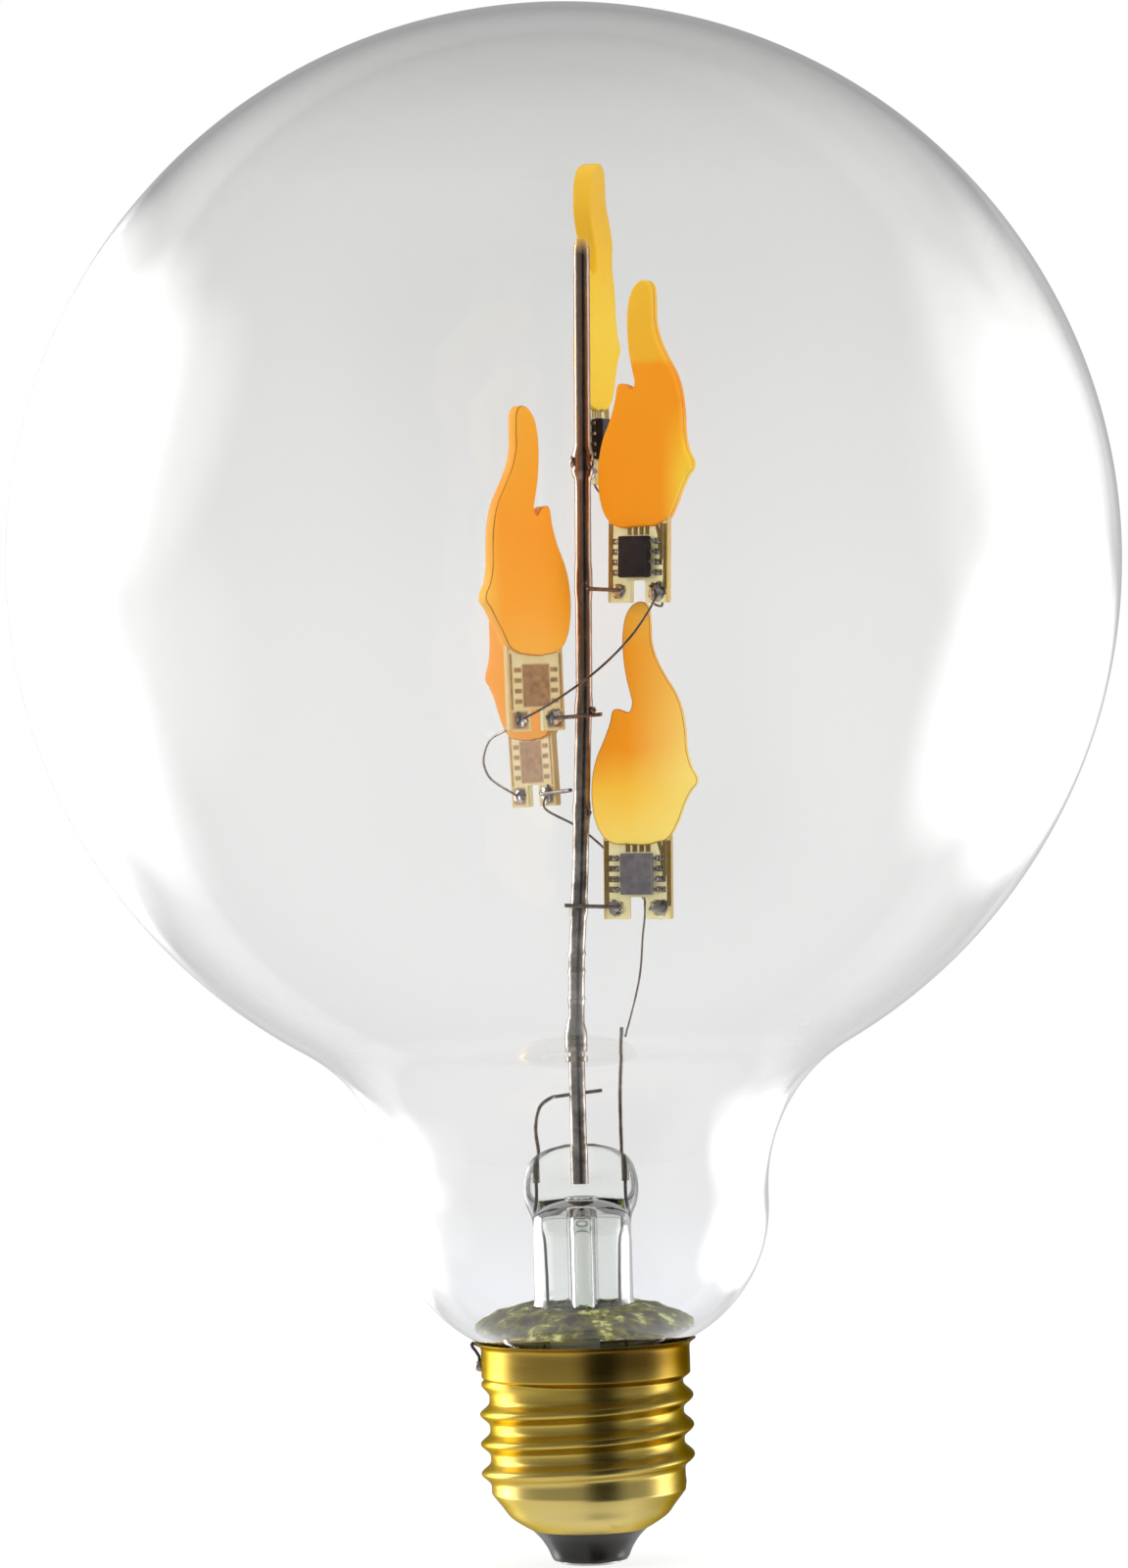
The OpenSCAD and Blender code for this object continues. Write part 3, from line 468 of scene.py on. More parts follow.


# tint and painted shade of the globe from its neck to its top: the painted shade darkens it towards the top
GLOBE_TINT_AND_SHADE = [(0.06, (0.955, 0.96, 0.975)), (0.13, (0.945, 0.945, 0.943)), (0.56, (0.95, 0.95, 0.945)),
              (0.67, (0.921, 0.921, 0.915)), (0.78, (0.889, 0.889, 0.882)), (0.886, (0.866, 0.866, 0.86)),
              (0.952, (0.76, 0.76, 0.75)), (1.0, (0.65, 0.65, 0.65))]
STEM_TINT = [(0.0, (0.965, 0.98, 0.955)), (1.0, (0.98, 0.99, 0.98))]
MATS = {
    # each glass takes its tint up its height and the grey of the painted shade at its rim
    "clear_glass": glass("clear_glass", GLOBE_TINT_AND_SHADE, (0.38, 0.38, 0.38), 0.3),
    "stem_glass": glass("stem_glass", STEM_TINT, (0.5, 0.52, 0.5), 0.4),
    "rod_metal": rod_steel(),
    "wire_metal": metal("wire_metal", (0.2, 0.15, 0.12), (0.44, 0.38, 0.33), 900, 0.25, 0.2),
    "sleeve_copper": metal("sleeve_copper", (0.12, 0.11, 0.08), (0.34, 0.31, 0.25), 600, 0.3, 0.2),
    "dark_lead": plain("dark_lead", (0.02, 0.015, 0.015), (0.05, 0.04, 0.04), 300, 0.4),
    "board_resin": board_resin(),
    "chip_black": plain("chip_black", srgb(26, 19, 19), srgb(42, 32, 32), 900, 0.42, 0.2),
    "solder": metal("solder", (0.34, 0.29, 0.25), (0.85, 0.82, 0.78), 900, 0.16, 0.2, 0.0001),
    "cap_brass": brass(),
    "vitrite": plain("vitrite", (0.004, 0.004, 0.003), (0.012, 0.01, 0.008), 120, 0.22),
    "contact_tin": metal("contact_tin", (0.5, 0.49, 0.46), (0.75, 0.74, 0.7), 220, 0.3, 0.2),
    "cement": plain("cement", (0.42, 0.42, 0.24), (0.56, 0.56, 0.34), 150, 0.8),
    "driver_resin": plain("driver_resin", (0.55, 0.62, 0.45), (0.65, 0.72, 0.55), 150, 0.4),
    "capacitor_sleeve": plain("capacitor_sleeve", (0.02, 0.02, 0.03), (0.03, 0.03, 0.045), 100, 0.3),
    "resistor_body": plain("resistor_body", (0.1, 0.22, 0.18), (0.14, 0.28, 0.22), 100, 0.35),
}
PHOSPHOR = [phosphor(k) for k in range(5)]
# painted shade along the fold where each flame's face turns into its rounded edge; on flame b the same colour
# marks the mould's seam
RIM_SHADE_AND_SEAM = plain("phosphor_rim_shade_and_seam", srgb(140, 84, 20), srgb(186, 120, 36), 400, 0.4)
MATS["phosphor"] = PHOSPHOR[2]
TRACK_GOLD = metal("track_gold", srgb(196, 160, 84), srgb(226, 196, 122), 700, 0.3, 0.15)
TRACK_DARK = plain("track_dark", srgb(84, 62, 30), srgb(120, 92, 48), 600, 0.4)
CHIP_GREY = plain("chip_grey", srgb(90, 84, 86), srgb(110, 104, 106), 900, 0.38, 0.2)
PINK = metal("burnt_solder", (0.36, 0.2, 0.15), (0.78, 0.6, 0.52), 700, 0.2, 0.2)



def olive():
    """The clumpy greenish filling as it shows through the shoulder of the glass."""
    m, nt, b = material("cement_through_glass")
    n = noise_tex(nt, 420, 6, 0.7)
    wide = noise_tex(nt, 160, 4, 0.6)
    col = ramp(nt, n, [(0.4, srgb(16, 16, 2)), (0.49, srgb(70, 66, 8)), (0.56, srgb(120, 118, 30)),
                       (0.64, srgb(214, 216, 140))])
    col = mix_color(nt, times(nt, wide, 0.4), col, srgb(78, 74, 8))
    paint(nt, b, col)
    spread_rough(nt, b, n, 0.25, 0.5)
    bump(nt, b, n, 0.5, 0.0002)
    return m


CEMENT_SEEN = olive()
slot_of = {s["node"]: s["material_slot"] for s in frame["record"]["subparts"]}
for name, ob in NODES.items():
    ob.data.materials.clear()
    ob.data.materials.append(MATS[slot_of[name]])


# mesh building, in millimetres

def added(name, data):
    ob = bpy.data.objects.new(name, data)
    bpy.context.collection.objects.link(ob)
    return ob


def piece(name, verts, faces, slot, stands_for=(), k=None, mat=None, sharp=40):
    """One visible piece, in millimetres. With k it stands in flame k's frame and takes its letter."""
    if k is not None:
        name += "_" + LETTERS[k]
        stands_for = [part + "_" + LETTERS[k] for part in stands_for]
    me = bpy.data.meshes.new(name)
    me.from_pydata([Vector(v) * MM for v in verts], [], faces)
    bm = bmesh.new()
    bm.from_mesh(me)
    bmesh.ops.remove_doubles(bm, verts=bm.verts, dist=1e-7)
    bmesh.ops.recalc_face_normals(bm, faces=bm.faces)
    bm.to_mesh(me)
    bm.free()
    for p in me.polygons:
        p.use_smooth = True
    me.set_sharp_from_angle(angle=radians(sharp))
    ob = added(name, me)
    if k is not None:
        ob.matrix_world = placed(k)
    me.materials.append(mat or MATS[slot])
    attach(ob, "root")
    if stands_for:
        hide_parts(*stands_for)
    return ob


def circle(r, z, n, x=0):
    """Points round an upright axis at x."""
    return [(x + r * cos(2 * pi * j / n), r * sin(2 * pi * j / n), z) for j in range(n)]


def lofted(rings, caps=True, around=False):
    """Vertices and faces through equal rings; around joins the last ring to the first."""
    n, m = len(rings[0]), len(rings)
    verts = [p for r in rings for p in r]
    faces = []
    for i in range(m if around else m - 1):
        a, b = i * n, ((i + 1) % m) * n
        faces += [(a + j, a + (j + 1) % n, b + (j + 1) % n, b + j) for j in range(n)]
    if caps and not around:
        faces += [tuple(range(n))[::-1], tuple(range((m - 1) * n, m * n))]
    return verts, faces


def revolved(profile, n):
    """A closed profile of (radius, z) turned about the lamp's axis."""
    return lofted([circle(r, z, n) for r, z in profile], around=True)


def join(*parts):
    verts, faces = [], []
    for v, f in parts:
        o = len(verts)
        verts += list(v)
        faces += [tuple(i + o for i in q) for q in f]
    return verts, faces


def smooth_path(pts, cuts):
    pts = [Vector(p) for p in pts]
    out = []
    for i in range(len(pts) - 1):
        a, b, c, d = pts[max(0, i - 1)], pts[i], pts[i + 1], pts[min(len(pts) - 1, i + 2)]
        for s in range(cuts):
            t = s / cuts
            out.append(0.5 * (2 * b + (c - a) * t + (2 * a - 5 * b + 4 * c - d) * t ** 2
                              + (3 * b - a - 3 * c + d) * t ** 3))
    return out + [pts[-1]]


def flat_curve(pts, cuts):
    """A smooth line through points of radius and height."""
    return [(p.x, p.y) for p in smooth_path([(r, z, 0) for r, z in pts], cuts)]


def tube(pts, radius, cuts, sides=14):
    """A round wire along a smooth path, with rounded ends."""
    p = smooth_path(pts, cuts)
    rings = []
    n = Vector((0.3, 1, 0.2))
    for i, c in enumerate(p):
        t = (p[min(len(p) - 1, i + 1)] - p[max(0, i - 1)]).normalized()
        n = (n - n.dot(t) * t).normalized()
        b = t.cross(n)
        ring = [(n * cos(a) + b * sin(a)) for a in [2 * pi * j / sides for j in range(sides)]]
        if i == 0:
            rings += [[c - t * radius * 0.4 + radius * 0.55 * v for v in ring],
                      [c - t * radius * 0.15 + radius * 0.88 * v for v in ring]]
        rings.append([c + radius * v for v in ring])
    rings += [[c + t * radius * 0.15 + radius * 0.88 * v for v in ring],
              [c + t * radius * 0.4 + radius * 0.55 * v for v in ring]]
    return lofted(rings)


def arc(x, z, r, a0, a1, n):
    turns = [a0 + (a1 - a0) * i / n for i in range(n + 1)]
    return [(x + r * cos(a), z + r * sin(a)) for a in turns]


# glass

def glass_line(w):
    a = atan2(THROAT_Z - GLOBE_Z, NECK_R + THROAT_R)
    b = atan2(FIL_Z - SH_Z, FIL_X - SH_X)
    top = radians(89.6)
    return (arc(0, GLOBE_Z, GLOBE_R - w, top, a, 110)
            + arc(NECK_R + THROAT_R, THROAT_Z, THROAT_R + w, a + pi, pi, 26)[1:]
            + arc(SH_X, SH_Z, SHOULDER_R - w, 0, b, 30)
            + arc(FIL_X, FIL_Z, FILLET_R + w, b + pi, pi, 8)[1:]
            + [(END_R - w, END_Z)])


def envelope():
    n = 192
    line = glass_line(0) + glass_line(GLASS_WALL)[::-1]
    verts, faces = lofted([circle(r, z, n) for r, z in line], caps=False)
    for ring, z in ((0, GLOBE_Z + GLOBE_R), (len(line) - 1, GLOBE_Z + GLOBE_R - GLASS_WALL)):
        verts.append((0, 0, z))
        faces += [(len(verts) - 1, ring * n + j, ring * n + (j + 1) % n) for j in range(n)]
    piece("globe_glass", verts, faces, "clear_glass", ["glass_envelope"])


def stem():
    n = 96
    # outside of the flare and tube, from the end of the neck up to the press
    b = atan2(FLARE_FOOT - FLARE_Z, FLARE_R - FLARE_TURN - STEM_R - FLARE_CURVE)

    def outside(w):
        low = arc(FLARE_R - FLARE_TURN, FLARE_FOOT, FLARE_TURN - w, 0, b + pi, 10)
        high = arc(STEM_R + FLARE_CURVE, FLARE_Z, FLARE_CURVE + w, b, -pi, 12)
        return [(FLARE_R - w, END_Z)] + low + high[1:]

    # share of the press's height, width and depth
    press = [(0, 12.0, 12.0), (0.1, 12.0, 11.7), (0.2, 12.4, 9.7), (0.32, 13.5, 7.6), (0.44, 14.0, 6.4),
             (0.56, 14.0, 6.2), (0.68, 13.5, 6.2), (0.79, 12.6, 5.9), (0.88, 10.8, 5.2), (0.95, 7.8, 3.8),
             (1, 3.5, 1.6)]
    bore = [(-0.03, 10.8, 10.8), (0.06, 10.75, 10.4), (0.14, 10.3, 8.5), (0.22, 9.7, 5.8), (0.29, 7.3, 3.6),
            (0.34, 3.6, 1.7)]

    def spread(steps, cuts):
        pts = smooth_path([Vector(s) for s in steps], cuts)
        return [[(p[1] / 2 * cos(2 * pi * j / n), p[2] / 2 * sin(2 * pi * j / n),
                  PRESS_Z - 0.6 + p[0] * (PRESS_H + 0.6)) for j in range(n)] for p in pts]

    def turned(line):
        return [circle(r, z, n) for r, z in line]

    rings = turned(outside(0)) + turned([(STEM_R, PRESS_Z - 2)]) + spread(press, 5)
    inside = turned(outside(STEM_WALL)) + turned([(STEM_R - STEM_WALL, PRESS_Z - 2)]) + spread(bore, 4)
    verts, faces = lofted(rings + inside[::-1], caps=False)
    m = len(rings)
    total = len(rings) + len(inside)
    # the loft joined the tops of the press and the bore: those faces go, and each end gets its own cap
    faces = [f for f in faces if not (min(f) < m * n <= max(f))]
    faces += [tuple(range((m - 1) * n, m * n)), tuple(range(m * n, (m + 1) * n))[::-1]]
    faces += [(j, (j + 1) % n, (total - 1) * n + (j + 1) % n, (total - 1) * n + j) for j in range(n)]
    piece("stem_tube", verts, faces, "stem_glass", ["stem_glass"])

    top, tip = PRESS_Z + 0.36 * PRESS_H, SKIRT_Z - 1.2
    closed = radians(88)
    line = ([(0.02, top - 0.2), (EXH_R, top - 0.2), (EXH_R, tip)] + arc(0, tip, EXH_R, 0, -closed, 10)
            + arc(0, tip, EXH_BORE_R, -closed, 0, 8)
            + [(EXH_BORE_R, top - 1.8), (EXH_BORE_R * 0.55, top - 1.1), (EXH_BORE_R * 0.05, top - 0.9)])
    piece("exhaust_glass", *revolved(line, 48), "stem_glass", ["exhaust_tube"])


envelope()
stem()


# rod, leads and wires

def rod():
    n = 40
    ringed = [(ROD_JOINT + h, 0.12) for h in (6.1, 9.6, 11.7)]
    # height, swelling and half length of the rod's weld marks
    welds = [(134.9, 0.34, 1.5), (133.4, 0.2, 0.6), (120.2, 0.12, 1.9), (104.8, 0.12, 1.2), (92.2, 0.12, 1.0),
             (80.1, 0.14, 1.0)]

    def radius(z):
        r = ROD_R + 0.03 * noise.noise((z * 0.6, 3.1, 0))
        for zz, d in ringed:
            r += d * exp(-((z - zz) / 0.22) ** 2)
        for zz, d, w in welds:
            r += d * exp(-((z - zz) / w) ** 4)
        return r * (1 - 0.2 * ease((z - ROD_TOP + 1.2) / 1.2))

    zs = [ROD_JOINT + (ROD_TOP - ROD_JOINT) * i / 500 for i in range(501)]
    rings = [circle(radius(z), z, n, rod_x(z)) for z in zs]
    c = Vector((rod_x(ROD_TOP), 0, ROD_TOP))
    rings.append([c + (Vector(p) - c) * 0.6 + Vector((0, 0, 0.2)) for p in rings[-1]])
    piece("support_rod", *lofted(rings), "rod_metal", ["rod_upper"])

    z0, x0 = PRESS_Z + 5.6, rod_x(ROD_JOINT)
    foot = [circle(ROD_R, z0 + (ROD_JOINT - z0) * i / 40, n, x0) for i in range(41)]
    piece("support_rod_foot", *lofted(foot), "rod_metal", ["rod_lower"])

    prof = [(1.16, 0.0), (1.3, 0.06), (1.38, 0.2), (1.4, 0.5), (1.36, 0.9), (1.4, 1.3), (1.4, 2.0),
            (1.33, 2.35), (1.2, 2.8), (1.1, 3.3), (1.03, 3.78)]
    ferrule = [circle(r, ROD_JOINT + h, n, x0) for r, h in prof]
    piece("rod_ferrule", *lofted(ferrule), "rod_metal", ["rod_sleeve"])


rod()


LEAD_X = 5.1
SEAL_HIGH = PRESS_Z + 0.85 * PRESS_H
LEAD_Y = ROD_R + LEAD_R


def near(x, y, z):
    return Vector((x, y, PRESS_TOP + z))


def wire(name, pts, r, node_name, cuts=8):
    piece(name, *tube(pts, r, cuts), "wire_metal", [node_name], sharp=60)


wire("lead_left_wire", [(-LEAD_X, 0, SEAL_HIGH), (-LEAD_X, 0, PRESS_TOP - 0.6), near(-LEAD_X - 0.25, 0, 2.2),
                        near(-LEAD_X + 0.3, 0.15, 4.8), near(-3.5, 0.6, 6), near(-2.2, LEAD_Y, 6.3),
                        near(2.85, LEAD_Y, 6.9)], LEAD_R, "lead_in_left")
LEAD_TOP = near(LEAD_X + 0.4, 0, 13.8)
wire("lead_right_wire", [(LEAD_X, 0, SEAL_HIGH), near(LEAD_X, 0, 6.5), LEAD_TOP], LEAD_R, "lead_in_right")
JUMPER_LIFT = BOARD_T / 2 + 0.3 + JUMPER_R + 0.03
PRONG_X = (BOARD_W + NOTCH_W) / 4


def on_face(k, x, f, z):
    return on_flame(k, x, f * JUMPER_LIFT, z)


wire("feed_jumper", [LEAD_TOP + Vector((0.45, 0, -1.1)), near(7.8, -0.5, 19.6), near(8.4, -0.3, 25),
                     on_flame(4, 0.65, 0.58, 0.4), on_flame(4, 0.65, 0.58, NOTCH_H + 0.8)],
     JUMPER_R, "feed_wire")
wire("jumper_one", [on_face(0, PRONG_X, 1, 1.5), on_face(0, PRONG_X, 1, -0.4), near(7.9, 6.4, 76),
                    near(10.6, 2, 70), near(10.2, -1.8, 66.4), on_face(1, PRONG_X, 1, -0.4),
                    on_face(1, PRONG_X, 1, 1.5)], JUMPER_R, "jumper_a_b")
wire("jumper_two", [on_face(1, PRONG_X, -1, 1.5), on_face(1, PRONG_X, -1, 0.2), near(8.8, -6.4, 62.7),
                    near(6.3, -6.1, 59.9), near(3.2, -5.8, 57.2), near(-0.6, -5.9, 54.6),
                    near(-2.9, -6.3, 53.2), on_face(2, PRONG_X, 1, 1.5)], JUMPER_R, "jumper_b_c")
wire("jumper_three", [on_face(2, PRONG_X, -1, 1.5), on_flame(2, PRONG_X + 1, -JUMPER_LIFT - 0.3, 0.3),
                      near(-9.6, -2.6, 49.5), near(-10.5, 0, 47.2), near(-10.1, 3, 45.3), near(-9, 5.2, 44.1),
                      on_face(3, PRONG_X, 1, 1.5)], JUMPER_R, "jumper_c_d")
wire("jumper_four", [on_face(3, -PRONG_X - 0.2, 1, 1.2), on_face(3, -PRONG_X - 0.1, 1, -0.4),
                     near(0.4, 4, 38.8), near(2.4, 3.6, 37.3), near(5, 2.6, 34.6),
                     on_face(4, PRONG_X - 0.4, 1, 0.3), on_face(4, PRONG_X, 1, 1.5)], JUMPER_R, "jumper_d_e")

ARM_SIDE = [-1, -1, 1, 1, -1]
ARM_PAST = [0.9, 0, 0.9, 0, 0.4]
ARM_LIFT = BOARD_T / 2 + 0.3 + ARM_R + 0.06
for k in range(5):
    r = ROD_R + ARM_R - 0.01
    start = Vector((-PRONG_X + 0.4, ARM_SIDE[k] * ARM_LIFT))
    if ARM_PAST[k]:
        beside = Vector((-REACH[k], -SIDE[k] + ARM_SIDE[k] * r))
        tip = beside + (ROD_R + ARM_PAST[k]) * (beside - start).normalized()
    else:
        tip = Vector((-REACH[k] + 0.8 * r, -SIDE[k] + ARM_SIDE[k] * 0.6 * r))
    wire("arm_wire_" + LETTERS[k], [on_flame(k, tip.x, tip.y, 1.75),
                                    on_flame(k, (tip.x + start.x) / 2, (tip.y + start.y) / 2, 1.62),
                                    on_flame(k, start.x, start.y, 1.5)],
         ARM_R, "arm_" + LETTERS[k], 6)


# flames

# outline of a cast flame, x and z in mm, from its tip round by the ear
FLAME_POINTS = [(0.85, 30.1), (-0.3, 29.7), (-1.2, 28.3), (-1.6, 25.8), (-1.5, 23.0), (-1.15, 20.6),
                (-0.75, 18.9), (-0.5, 17.6), (-0.85, 16.9), (-1.6, 17.05), (-2.4, 17.3), (-2.95, 16.95),
                (-3.25, 15.6), (-3.95, 13.2), (-4.95, 10.8), (-5.5, 8.4), (-5.6, 5.6), (-5.2, 3),
                (-4.3, 1.15), (-2.9, 0.2), (-0.2, 0), (2.6, 0.25), (4.1, 1.1), (5.15, 3.0), (6.0, 5.3),
                (6.8, 6.75), (7.4, 7.5), (7.4, 8.4), (6.7, 9.7), (6.2, 11.8), (6.05, 14), (5.65, 16.6),
                (4.9, 18.7), (3.7, 20.7), (2.6, 22.8), (1.95, 25), (1.85, 27.2), (1.65, 29.3)]


def outline(k):
    """Each flame left the mould a little different from the next."""
    out = []
    for i, (x, z) in enumerate(FLAME_POINTS):
        if k == 0:
            up = ease((z - 18) / 5)
            x, z = x + (x - 0.2) * 0.6 * up, z + 0.75 * up
            if x < 0:
                x *= 1 - 0.22 * (1 - up)
        if k == 1:
            z += 0.3 if 9 <= i <= 11 else (-0.35 if 24 <= i <= 29 else 0)
        if k == 2:
            z += 0.7 if 9 <= i <= 11 else (-0.9 if 24 <= i <= 29 else 0)
        if k == 4 and 8 <= i <= 12:
            z -= 0.45
        out.append((x * FLAME_W / 13.4, z * FLAME_H[k] / 30.1))
    return out


def closed_curve(pts, cuts):
    out = []
    n = len(pts)
    for i in range(n):
        a, b, c, d = (Vector(pts[(i + s) % n]) for s in (-1, 0, 1, 2))
        for s in range(cuts):
            t = s / cuts
            out.append(0.5 * (2 * b + (c - a) * t + (2 * a - 5 * b + 4 * c - d) * t ** 2
                              + (3 * b - a - 3 * c + d) * t ** 3))
    return out


def inset(pts, w):
    out = []
    for i in range(len(pts)):
        d = (pts[(i + 1) % len(pts)] - pts[i - 1]).normalized()
        out.append(pts[i] + w * Vector((-d.y, d.x)))
    return out


def inside(p, poly):
    hit = False
    j = len(poly) - 1
    for i in range(len(poly)):
        a, b = poly[i], poly[j]
        if (a.y > p.y) != (b.y > p.y) and p.x < (b.x - a.x) * (p.y - a.y) / (b.y - a.y) + a.x:
            hit = not hit
        j = i
    return hit


def distance(p, poly):
    best = 1e9
    for i in range(len(poly)):
        a, b = poly[i - 1], poly[i]
        ab = b - a
        t = max(0, min(1, (p - a).dot(ab) / max(1e-12, ab.length_squared)))
        best = min(best, (p - a - ab * t).length)
    return best


def flame(k):
    pts = closed_curve(outline(k), 5)
    # the cast foot runs over the board in a slightly uneven line
    pts = [Vector((p.x, p.y + (0.22 * noise.noise((p.x * 0.9, k * 7.3, 0)) if p.y < 1.2 else 0)))
           for p in pts]
    # e is the radius of the rounded edges
    e, half = 0.3, FLAME_T / 2

    def thick(z):
        """The tongue of the top flame was cast a little thicker."""
        return 0.25 * ease((z - 17) / 4) if k == 0 else 0

    rings = []
    for side in (-1, 1):
        steps = [(half - e + e * sin(radians(a)), e * (1 - cos(radians(a))))
                 for a in (0, 25, 50, 72, 90)]
        if k == 1:
            # the mould's parting line
            steps = [(0.07, 0)] + steps
        block = [[(p.x, side * (d + thick(p.y)), BOARD_H[k] + p.y) for p in inset(pts, w)] for d, w in steps]
        rings += block[::-1] if side < 0 else block
    verts, faces = lofted(rings, caps=False)
    inner = inset(pts, e)
    n = len(pts)
    # points inside the face, in rows of equal triangles
    grid = []
    step, row = 0.75, 0.866
    for r in range(int(FLAME_H[k] / (step * row)) + 1):
        for c in range(-10, 12):
            q = Vector((c * step + (0.5 * step if r % 2 else 0), r * step * row))
            if inside(q, inner) and distance(q, inner) > 0.35:
                grid.append(q)
    edges = [(i, (i + 1) % n) for i in range(n)]
    v2, _, f2, *_ = geometry.delaunay_2d_cdt(inner + grid, edges, [], 1, 1e-6)
    parts = [(verts, faces)]
    for side in (-1, 1):
        vs = []
        for p in v2:
            d = distance(p, inner)
            swell = 0.13 * (1 - exp(-d / 0.9)) + 0.05 * noise.noise((p.x * 0.35, p.y * 0.35, k * 3.1 + side))
            vs.append((p.x, side * (half + thick(p.y) + (swell if d > 1e-4 else 0)), BOARD_H[k] + p.y))
        parts.append((vs, [tuple(f) for f in f2]))
    v, f = join(*parts)
    ob = piece("flame_body", v, f, "phosphor", ["flame"], k=k, mat=PHOSPHOR[k], sharp=60)
    ob.data.materials.append(RIM_SHADE_AND_SEAM)
    # painted shade on the rounded edge beside each face, on flame a only on its outer side; on flame b the
    # mould's seam along the middle of the edge
    for p in ob.data.polygons:
        c = p.center / MM
        y = abs(c.y) - thick(c.z - BOARD_H[k])
        if k == 0 and c.x < 1.2:
            continue
        if abs(c.y) < 0.02 if k == 1 else half - 0.15 < y < half - 0.08:
            p.material_index = 1


for k in range(5):
    flame(k)


# boards, chips, pads and tracks

def prism(shape, y0, y1, rim=0.0):
    """A flat shape in the board's x and z, between two y values, with its rim taken off by rim."""
    pts = [Vector(p) for p in shape]
    if rim:
        ins = inset(pts, rim)
        lay = [(y0, ins), (y0 + rim, pts), (y1 - rim, pts), (y1, ins)]
    else:
        lay = [(y0, pts), (y1, pts)]
    return lofted([[(p.x, y, p.y) for p in ring] for y, ring in lay])


def box(x0, x1, y0, y1, z0, z1):
    return prism([(x0, z1), (x0, z0), (x1, z0), (x1, z1)], y0, y1)


def ribbon(pts, w, y0, y1):
    """A flat strip of width w along a line in x and z."""
    pts = [Vector(p) for p in pts]
    left, right = [], []
    for i, p in enumerate(pts):
        d = (pts[min(len(pts) - 1, i + 1)] - pts[max(0, i - 1)]).normalized()
        nrm = Vector((-d.y, d.x))
        left.append(p + nrm * w / 2)
        right.append(p - nrm * w / 2)
    return prism(left + right[::-1], y0, y1)


def board(k):
    w, top = BOARD_W / 2, BOARD_H[k] + 1.3
    h = NOTCH_W / 2
    left = [(-w, top), (-w, 0.15), (-w + 0.15, 0), (-h - 0.1, 0), (-h, 0.1), (-h, NOTCH_H - 0.15),
            (-h + 0.15, NOTCH_H)]
    pts = left + [(-x, z) for x, z in left[::-1]]
    tongue = box(0.3, 2.3, -BOARD_T / 2, BOARD_T / 2, top, BOARD_H[k] + 22)
    solid = join(prism(pts, -BOARD_T / 2, BOARD_T / 2, 0.05), tongue)
    piece("circuit", *solid, "board_resin", ["board"], k=k)


def chip(k):
    y = -BOARD_T / 2 - 0.1
    w, z0, z1 = CHIP_W / 2, CHIP_FOOT, CHIP_FOOT + CHIP_LEN

    def ring(s, yy, r):
        a, b, c = w - s, z0 + s, z1 - s
        out = []
        for cx, cz, a0 in ((a - r, b + r, -90), (a - r, c - r, 0), (-a + r, c - r, 90), (-a + r, b + r, 180)):
            for q in range(5):
                t = radians(a0 + 22.5 * q)
                out.append((cx + r * cos(t), yy, cz + r * sin(t)))
        return out

    face = y - CHIP_T
    rings = [ring(0.12, y, 0.08), ring(0.0, y - 0.6, 0.12), ring(0.0, y - 0.75, 0.12),
             ring(0.06, face + 0.12, 0.14), ring(0.12, face + 0.03, 0.16), ring(0.2, face, 0.2)]
    look = CHIP_GREY if k == 4 else None
    piece("chip_body", *lofted(rings), "chip_black", ["chip"], k=k, mat=look, sharp=30)
    # the round mark pressed in by the mould, over the first pin
    n = 24
    cx, cz = -w + 0.8, z1 - 0.8
    rings = [[(cx + r * cos(2 * pi * j / n), face + out, cz + r * sin(2 * pi * j / n)) for j in range(n)]
             for r, out in ((0.42, 0.02), (0.4, -0.012), (0.34, -0.012), (0.3, 0.01))]
    piece("chip_mark", *lofted(rings), "chip_black", k=k, mat=look)


LEG = [(2.0, -0.75), (2.4, -0.75), (2.5, -0.7), (2.56, -0.6), (2.64, -0.28), (2.7, -0.2), (3.0, -0.2),
       (3.0, 0.0), (2.46, 0.0), (2.38, -0.06), (2.32, -0.45), (2.26, -0.55), (2.0, -0.55)]


def legs(k):
    parts, cushions = [], []
    for s in (-1, 1):
        for i in range(4):
            zc = CHIP_FOOT + CHIP_LEN / 2 + (i - 1.5) * LEG_PITCH
            rings = [[(s * x, -BOARD_T / 2 + y, zc + dz) for x, y in LEG] for dz in (-LEG_W / 2, LEG_W / 2)]
            parts.append(lofted(rings))
            # solder fillet under the foot of the leg
            n = 12
            cush = []
            for r, yy in ((1.0, 0.0), (0.92, -0.1), (0.7, -0.2), (0.35, -0.26)):
                cush.append([(s * 2.86 + 0.48 * r * cos(2 * pi * j / n), -BOARD_T / 2 + yy,
                              zc + 0.34 * r * sin(2 * pi * j / n)) for j in range(n)])
            cushions.append(lofted(cush))
    piece("chip_legs", *join(*parts, *cushions), "solder", ["contacts"], k=k, sharp=50)


